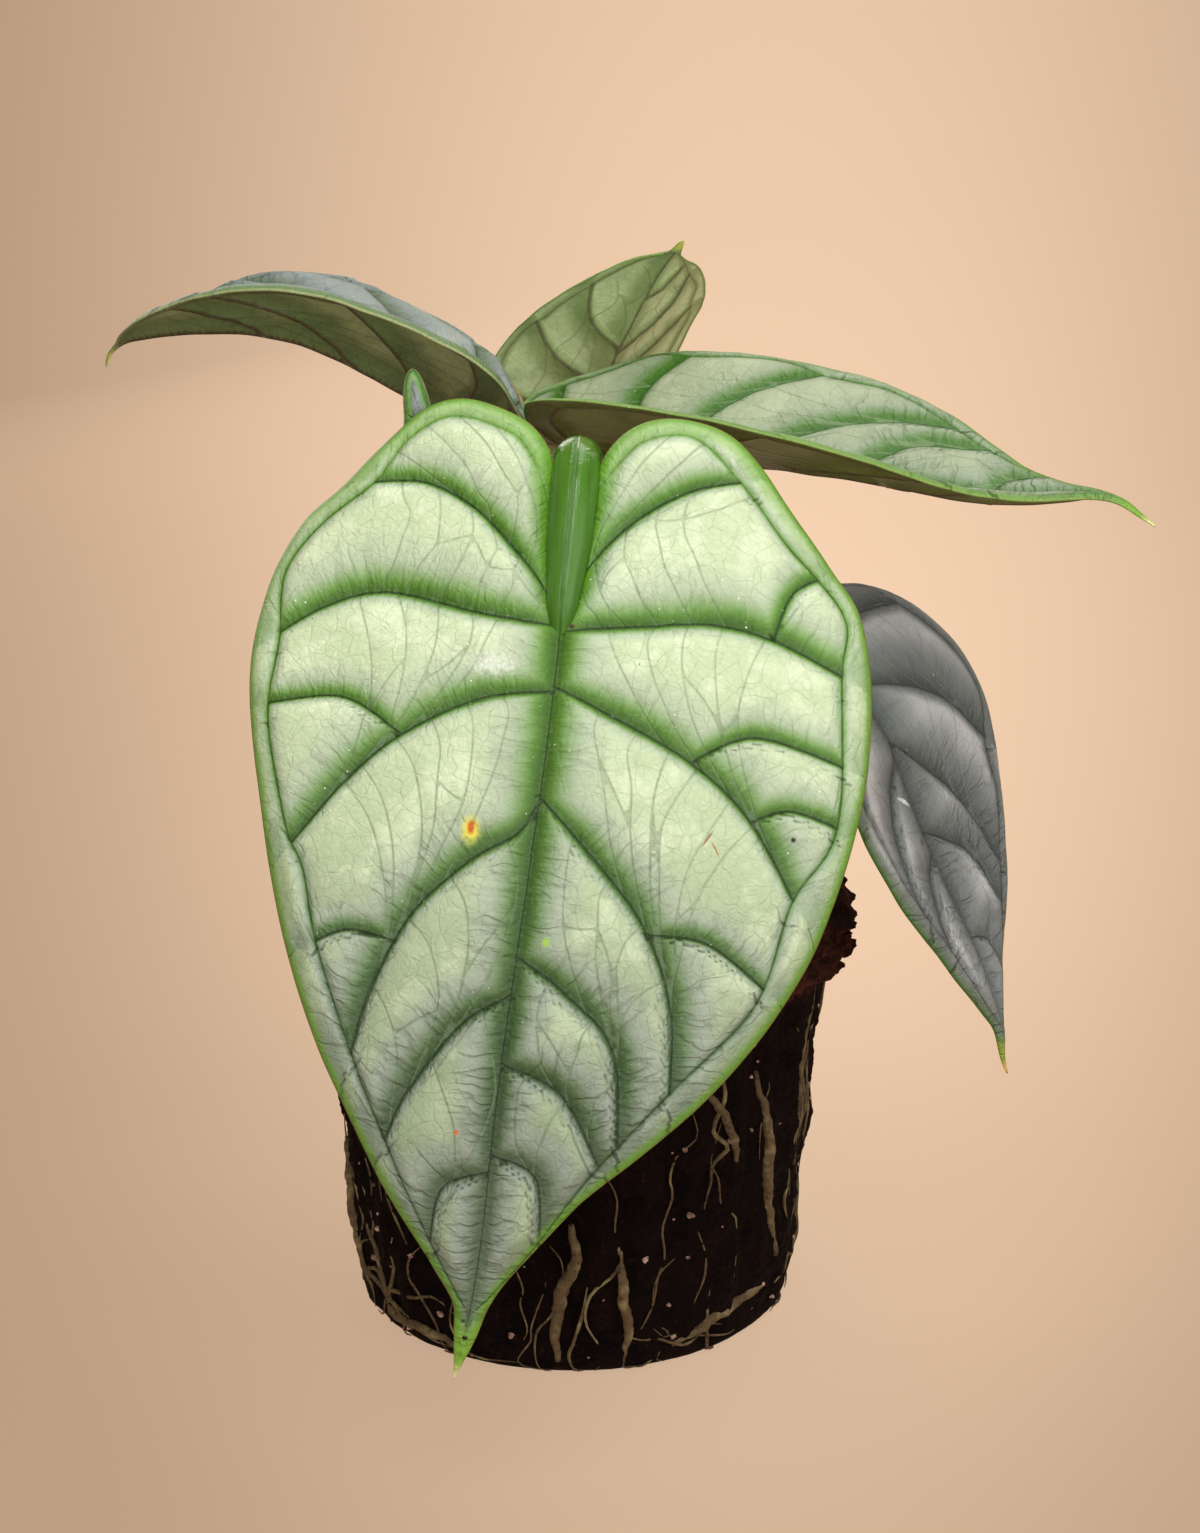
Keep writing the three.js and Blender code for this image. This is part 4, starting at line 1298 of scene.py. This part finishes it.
def crumbs(turn, z):
    wide = np.sin(5 * turn + 0.7 * z) + np.sin(11 * turn - 1.3 * z + 2)
    return ball["crumbDepth"] * (0.6 * wide + 0.8 * np.sin(23 * turn + 2.1 * z) * np.sin(3 * turn + z))


def soilHeight(x, y):
    lumps = np.sin(0.31 * x + 1) * np.sin(0.27 * y) + 0.6 * np.sin(0.53 * x - 0.47 * y)
    return ball["height"] + 0.8 * lumps


def lump(place, scale, depth=4):
    return noise.fractal(Vector(place) * scale, 1.0, 2.0, depth)


def soilMaterial():
    newMaterial("peat_soil")
    place = objectPlace()
    coarse = cloudy(place, 0.16, 5.0, 0.65)
    fineGrain = cloudy(place, 0.9, 5.0, 0.7)
    stringy = cloudy(scaled(place, (0.9, 0.9, 0.07)), 1.0, 4.0, 0.6)
    # lighter, redder soil on the ledge and top: partly loose dry crumbs, partly painted light on the
    # ball's lit top
    loose = rising(parts(place)[2], ball["ledgeStart"] - 4.0, ball["ledgeStart"] + 2.0)
    keys = (("deep", "looseLitDeep"), ("tint", "looseLitTint"), ("warm", "looseLitWarm"))
    deep, tint, warm = (mixed(ball[firm], ball[crumbly], loose) for firm, crumbly in keys)
    colour = layered(
        mixed(deep, tint, rising(coarse + (fineGrain - 0.5) * 0.6, 0.35, 0.7)),
        (warm, rising(fineGrain, 0.56, 0.76) * 0.6),
        (ball["fibre"], rising(stringy, 0.63, 0.76) * rising(coarse, 0.4, 0.6) * 0.45),
        (ball["speck"], dots(place, 0.3, 0.1, 0.16) * 0.7),
    )
    height = fineGrain * 0.9 + coarse * 0.6 + stringy * 0.3
    return surface(colour, 0.9 + (fineGrain - 0.5) * 0.2, height, Specular_IOR_Level=0.08)


def makeBall(skin):
    around, ledge, rows = ball["around"], ball["ledgeStart"], ball["rows"]
    turns = 2 * np.pi * np.arange(around) / around
    rings = []  # each with its kind, radii and heights
    for share in np.linspace(0.04, 1, rows["base"]):
        radius = (ball["baseRadius"] - ball["baseRounding"]) * share
        rings.append(("base", np.full(around, radius), np.zeros(around)))
    for z in np.linspace(0.7, ledge, rows["wall"]):
        rounding = ball["baseRounding"] * max(0.0, 1 - z / 2) ** 2
        rings.append(("wall", ballRadius(turns, z) - rounding, np.full(around, z)))
    for z in np.linspace(ledge + 0.8, ledge + 11, rows["ledge"]):
        reach = ball["ledgeRadius"] + 0.6 * min(1, (z - ledge) / 8)
        grown = min(1, (z - ledge) / 3)
        radius = ballRadius(turns, ledge) * (1 - grown) + (reach + crumbs(turns, z)) * grown
        rings.append(("wall", radius, np.full(around, z)))
    for radius in np.linspace(ball["ledgeRadius"] - 1, 1.5, rows["top"]):
        x, y = radius * np.cos(turns), radius * np.sin(turns)
        rings.append(("top", np.full(around, radius), soilHeight(x, y)))
    vertices = []
    for kind, radii, heights in rings:
        for turn, radius, z in zip(turns, radii, heights):
            x, y, _ = polar(radius, turn, z)
            rough = 0.75 * lump((x, y, z * 0.6), 0.22) + 0.4 * lump((x + 90, y, z), 0.8, 3)
            if kind == "wall":
                grow = 1 + rough * min(1.0, z / 5) / max(radius, 1)
                vertices.append((x * grow, y * grow, z))
            else:
                vertices.append((x, y, z + (1.3 * rough if kind == "top" else 0)))
    vertices += [(0, 0, 0), (0, 0, float(soilHeight(0, 0)))]
    piece = makePiece("soil_ball", vertices, ringFaces(len(rings), around), [skin])
    handOver(piece, ["root_ball"])


roots = {
    "thick": [  # degrees from -Y towards +X, and height, along each, with the radius
        ([[0, 34], [1, 26], [-2, 20], [-4, 14], [-4, 4]], 1.5),
        ([[11, 28], [12, 19], [14, 10], [13, 4]], 1.2),
        ([[26, 4], [35, 7], [47, 9], [58, 10]], 1.3),
        ([[47, 60], [52, 46], [56, 30], [62, 15]], 1.3),
        ([[29, 62], [34, 57], [38, 50], [41, 43]], 1),
        ([[-74, 38], [-72, 24], [-69, 9]], 1.3),
        ([[-61, 8], [-52, 4], [-42, 5], [-30, 3.5]], 1.1),
        ([[100, 66], [106, 50], [103, 33], [109, 16], [120, 6]], 1.4),
        ([[150, 58], [143, 42], [146, 24], [138, 8]], 1.3),
        ([[-105, 70], [-110, 52], [-106, 36], [-113, 20], [-110, 5]], 1.4),
        ([[-150, 46], [-144, 30], [-150, 16], [-160, 6], [-172, 4]], 1.3),
        ([[178, 64], [172, 50], [176, 36], [168, 24]], 1.1),
    ],
    "lift": 0.15,  # how far their middles stand out of the ball
    "wobble": 0.5,
    "unevenness": 0.13,
    "taper": [0.4, 0.8, 0.95, 0.8, 0.4],
    "steps": 44,
    "sides": 14,
    "fineCount": 110,
    "fineRadius": (0.2, 0.55),
    "fineTaper": [0.3, 1, 1, 0.25],
    "fineSteps": 26,
    "fineSides": 6,
    "fineLift": (-0.15, 0.3),
    "corners": (5, 11),
    "heights": (1.2, 74),
    "shortest": 6,
    "circlingEvery": 6,  # one in six runs round the foot of the ball, the rest hang
    "circling": {"height": (1.5, 16), "turn": (3, 8), "rise": 1.2},
    "hanging": {"height": (6, 74), "turn": 2.6, "drop": (2, 7)},
    "tint": (88, 72, 48),
    "pale": (130, 118, 84),
    "brown": (40, 26, 18),
}


def onBall(angle, z, lift=0.0):
    turn = math.radians(angle - 90)
    return polar(float(ballRadius(turn, max(z, 0.0))) + lift, turn, z)


def rootMaterial():
    newMaterial("root_skin")
    place = objectPlace()
    patches = cloudy(place, 0.2, 4.0, 0.6)
    spots = cloudy(place, 1.3, 4.0, 0.65)
    colour = mixed(roots["tint"], roots["pale"], rising(patches, 0.5, 0.68))
    colour = mixed(colour, roots["brown"], rising(spots + (0.5 - patches) * 0.8, 0.52, 0.72) * 0.8)
    return surface(colour, 0.75, spots * 0.4, Specular_IOR_Level=0.3)


def makeRoots(skin):
    thick = []
    for corners, radius in roots["thick"]:
        path = route([onBall(angle, z, roots["lift"]) for angle, z in corners], roots["steps"])
        wobble = np.array([[lump(p + shift, 0.3) for shift in (5, 45, 85)] for p in path])
        path = path + roots["wobble"] * wobble
        radii = spread(roots["taper"], len(path)) * radius
        radii = radii * (1 + roots["unevenness"] * np.array([lump(p, 0.7) for p in path]))
        thick.append(tubeMesh(path, radii, roots["sides"]))
    nodes = [f"root_{number + 1}" for number in range(len(thick))]
    handOver(makePiece("thick_roots", *gathered(thick), [skin]), nodes)
    fine = []
    circling, hanging = roots["circling"], roots["hanging"]
    for number in range(roots["fineCount"]):
        angle, z = chance.uniform(-180, 180), chance.uniform(*hanging["height"])
        circles = number % roots["circlingEvery"] == 0
        if circles:
            z = chance.uniform(*circling["height"])
        corners = []
        for step in range(int(chance.integers(*roots["corners"]))):
            corners.append(onBall(angle, z, chance.uniform(*roots["fineLift"])))
            if circles:
                angle += chance.uniform(*circling["turn"])
                z += chance.normal(0, circling["rise"])
            else:
                angle += chance.normal(0, hanging["turn"])
                z -= chance.uniform(*hanging["drop"])
            z = float(np.clip(z, *roots["heights"]))
        if np.linalg.norm(np.subtract(corners[0], corners[-1])) > roots["shortest"]:
            path = route(corners, roots["fineSteps"])
            radius = chance.uniform(*roots["fineRadius"])
            radii = spread(roots["fineTaper"], len(path)) * radius
            fine.append(tubeMesh(path, radii, roots["fineSides"]))
    handOver(makePiece("fine_roots", *gathered(fine), [skin]))


loose = {  # what lies on the root ball
    "topReach": 54,
    "wallGrains": 90,
    "wallHeights": (3, 74),
    "wallSizes": (0.3, 0.85),
    "topGrains": 50,
    "topSizes": (0.6, 1.6),
    "crumbs": 330,
    "crumbSizes": (0.7, 2.3),
    "ledgeHeights": (76, 87),
    "ledgeDepths": (-2.0, 0.7),  # beside the ledge's radius
    "tint": (184, 158, 146),
    "shade": (104, 70, 60),
}


def grain(centre, radius, seed, squash=0.8):
    # an uneven grain made from a sphere of rings
    rings, sides = 7, 10
    points = []
    for i in range(1, rings):
        pitch = math.pi * i / rings
        for j in range(sides):
            points.append(polar(math.sin(pitch), 2 * math.pi * j / sides, math.cos(pitch)))
    points += [(0, 0, 1), (0, 0, -1)]
    grown = []
    for p in points:
        swell = 1 + 0.7 * lump(np.array(p) + seed, 1.1, 3)
        grown.append(np.array(p) * np.array([1, 1, squash]) * radius * swell + centre)
    top, bottom = len(points) - 2, len(points) - 1
    faces = []
    for j in range(sides):
        k = (j + 1) % sides
        faces += [(top, j, k), (bottom, (rings - 2) * sides + k, (rings - 2) * sides + j)]
        for low in range(0, (rings - 2) * sides, sides):
            faces.append((low + j, low + sides + j, low + sides + k, low + k))
    return np.array(grown), faces


def makeGrains(soil):
    newMaterial("perlite")
    mottle = cloudy(objectPlace(), 0.8, 4.0, 0.6)
    colour = mixed(loose["tint"], loose["shade"], rising(mottle, 0.4, 0.62))
    perlite = surface(colour, 0.85, mottle * 0.5)
    grains = []
    for number in range(loose["wallGrains"]):
        centre = onBall(chance.uniform(-180, 180), chance.uniform(*loose["wallHeights"]))
        grains.append(grain(centre, chance.uniform(*loose["wallSizes"]), 13.0 * number))
    for number in range(loose["topGrains"]):
        turn = chance.uniform(0, 2 * math.pi)
        x, y, _ = polar(loose["topReach"] * math.sqrt(chance.uniform(0.05, 1)), turn, 0)
        centre = [x, y, soilHeight(x, y) + 0.5]
        grains.append(grain(centre, chance.uniform(*loose["topSizes"]), 7.0 * number))
    handOver(makePiece("perlite_grains", *gathered(grains), [perlite]))
    lumps = []
    for number in range(loose["crumbs"]):
        turn = chance.uniform(0, 2 * math.pi)
        if number % 3:
            z = chance.uniform(*loose["ledgeHeights"])
            reach = ball["ledgeRadius"] + chance.uniform(*loose["ledgeDepths"])
        else:
            reach = loose["topReach"] * math.sqrt(chance.uniform(0.06, 1))
            z = float(soilHeight(*polar(reach, turn, 0)[:2])) + 0.4
        size, squash = chance.uniform(*loose["crumbSizes"]), chance.uniform(0.6, 1)
        lumps.append(grain(polar(reach, turn, z), size, 5.0 * number, squash))
    handOver(makePiece("soil_crumbs", *gathered(lumps), [soil]))


# Stem base

stem = {
    "radius": 13,
    "foot": 78,
    "capRise": 0.4,
    "rows": 60,
    "sides": 96,
    "profile": [[0.72, 0], [0.95, 5], [1, 12], [0.96, 17], [0.8, 19.8], [0.55, 21]],
    "sheathSteps": 40,
    "sheathCut": 34,  # how many of the steps a sheath covers
    "sheathSides": 20,
    "sheathWidths": [1.75, 1.5, 1.3, 1.16, 1.05],  # times the stalk's
    "tint": (118, 136, 72),
    "scar": (92, 72, 46),
    "papery": (144, 124, 82),
}


def stemMaterial():
    newMaterial("stem_skin")
    place = objectPlace()
    z = parts(place)[2]
    patches = cloudy(place, 0.18, 4.0, 0.6)
    fibres = cloudy(scaled(place, (1.6, 1.6, 0.12)), 1.0, 3.0, 0.6)
    rings = Wire.math("SINE", z * 1.1 + patches * 7.0) * falling(z, 92.0, 100.0)
    colour = layered(
        mixed(stem["tint"], stem["papery"], rising(patches - z * 0.002, 0.28, 0.46)),
        (stem["scar"], rising(rings, 0.6, 0.95) * 0.45),
        (stem["scar"], rising(fibres, 0.54, 0.7) * 0.55),
    )
    return surface(colour, 0.55, fibres * 0.5 + rings * 0.12)


def makeStem(skin):
    sides, rows, foot = stem["sides"], stem["rows"], stem["foot"]
    shares, heights = zip(*stem["profile"])
    levels = np.linspace(0, heights[-1], rows)
    vertices = []
    for level, share in zip(levels, np.interp(levels, heights, shares)):
        for i in range(sides):
            x, y, _ = polar(share * stem["radius"], 2 * math.pi * i / sides, level)
            grow = 1 + 0.05 * lump((x, y, level), 0.2) + 0.012 * math.sin(level * 1.9)
            vertices.append((x * grow, y * grow, foot + level))
    vertices += [(0, 0, foot), (0, 0, foot + heights[-1] + stem["capRise"])]
    piece = makePiece("stem_body", vertices, ringFaces(rows, sides), [skin])
    handOver(piece, ["stem_base"])
    sheaths = []
    for name, given in stalks["routes"].items():
        path = route(stalkCorners(name)[:3], stem["sheathSteps"])[:stem["sheathCut"]]
        radii = spread(given["radii"][:2], len(path)) * spread(stem["sheathWidths"], len(path))
        sheaths.append(tubeMesh(path, radii, stem["sheathSides"]))
    handOver(makePiece("stalk_sheaths", *gathered(sheaths), [skin]))


# Backdrop

def makeBackdrop():
    newMaterial("backdrop_paper")
    x, y, z = parts(Wire.node("ShaderNodeTexCoord", output=3))
    back, up = 0.55, 0.27  # where the camera stands, in metres
    nearness = Wire.math("DIVIDE", 1.0, Wire.math("MAXIMUM", y + back, 0.3))

    # brightest near the middle of the view, and darker away from it
    off = joined((x * nearness - 0.06) * 2.4, (z - up) * nearness * 1.15 + 0.2)
    away = Wire.node("ShaderNodeVectorMath", {"operation": "LENGTH"}, {0: off}, output=1)
    colour = mixed(backdrop["tint"], backdrop["shade"], rising(away, 0.05, 0.82))
    colour = mixed(backdrop["behind"], colour, rising(y, -1.4, -0.12))
    lit = mixed((0, 0, 0), scaled(colour, (1 - backdrop["glow"],) * 3), rising(y, -0.85, -0.15))
    glow = {"Emission_Color": colour, "Emission_Strength": backdrop["glow"]}
    paper = surface(lit, 0.9, Specular_IOR_Level=0.0, **glow)
    radius = backdrop["bendRadius"]
    profile = [(backdrop["front"], 0.0)]
    for turn in np.linspace(0, math.pi / 2, 25).tolist():
        profile.append((backdrop["bend"] + radius * math.sin(turn), radius * (1 - math.cos(turn))))
    profile.append((backdrop["bend"] + radius, backdrop["height"]))
    half = backdrop["halfWidth"]
    vertices = [(side, y, z) for y, z in profile for side in (-half, half)]
    faces = [(2 * i, 2 * i + 1, 2 * i + 3, 2 * i + 2) for i in range(len(profile) - 1)]
    makePiece("backdrop", vertices, faces, [paper])


# The whole scene

makeCamera()
makeLights()
makeBackdrop()
print("camera, lights and backdrop")
for name, leaf in leaves.items():
    makeBlade(name, leaf)
print("blades")
stalkSkin = stalkMaterial()
for name, leaf in leaves.items():
    makeStalk(name, leaf, stalkSkin)
makeStem(stemMaterial())
print("stalks and stem")
soilSkin = soilMaterial()
makeBall(soilSkin)
makeGrains(soilSkin)
makeRoots(rootMaterial())
print("root ball")
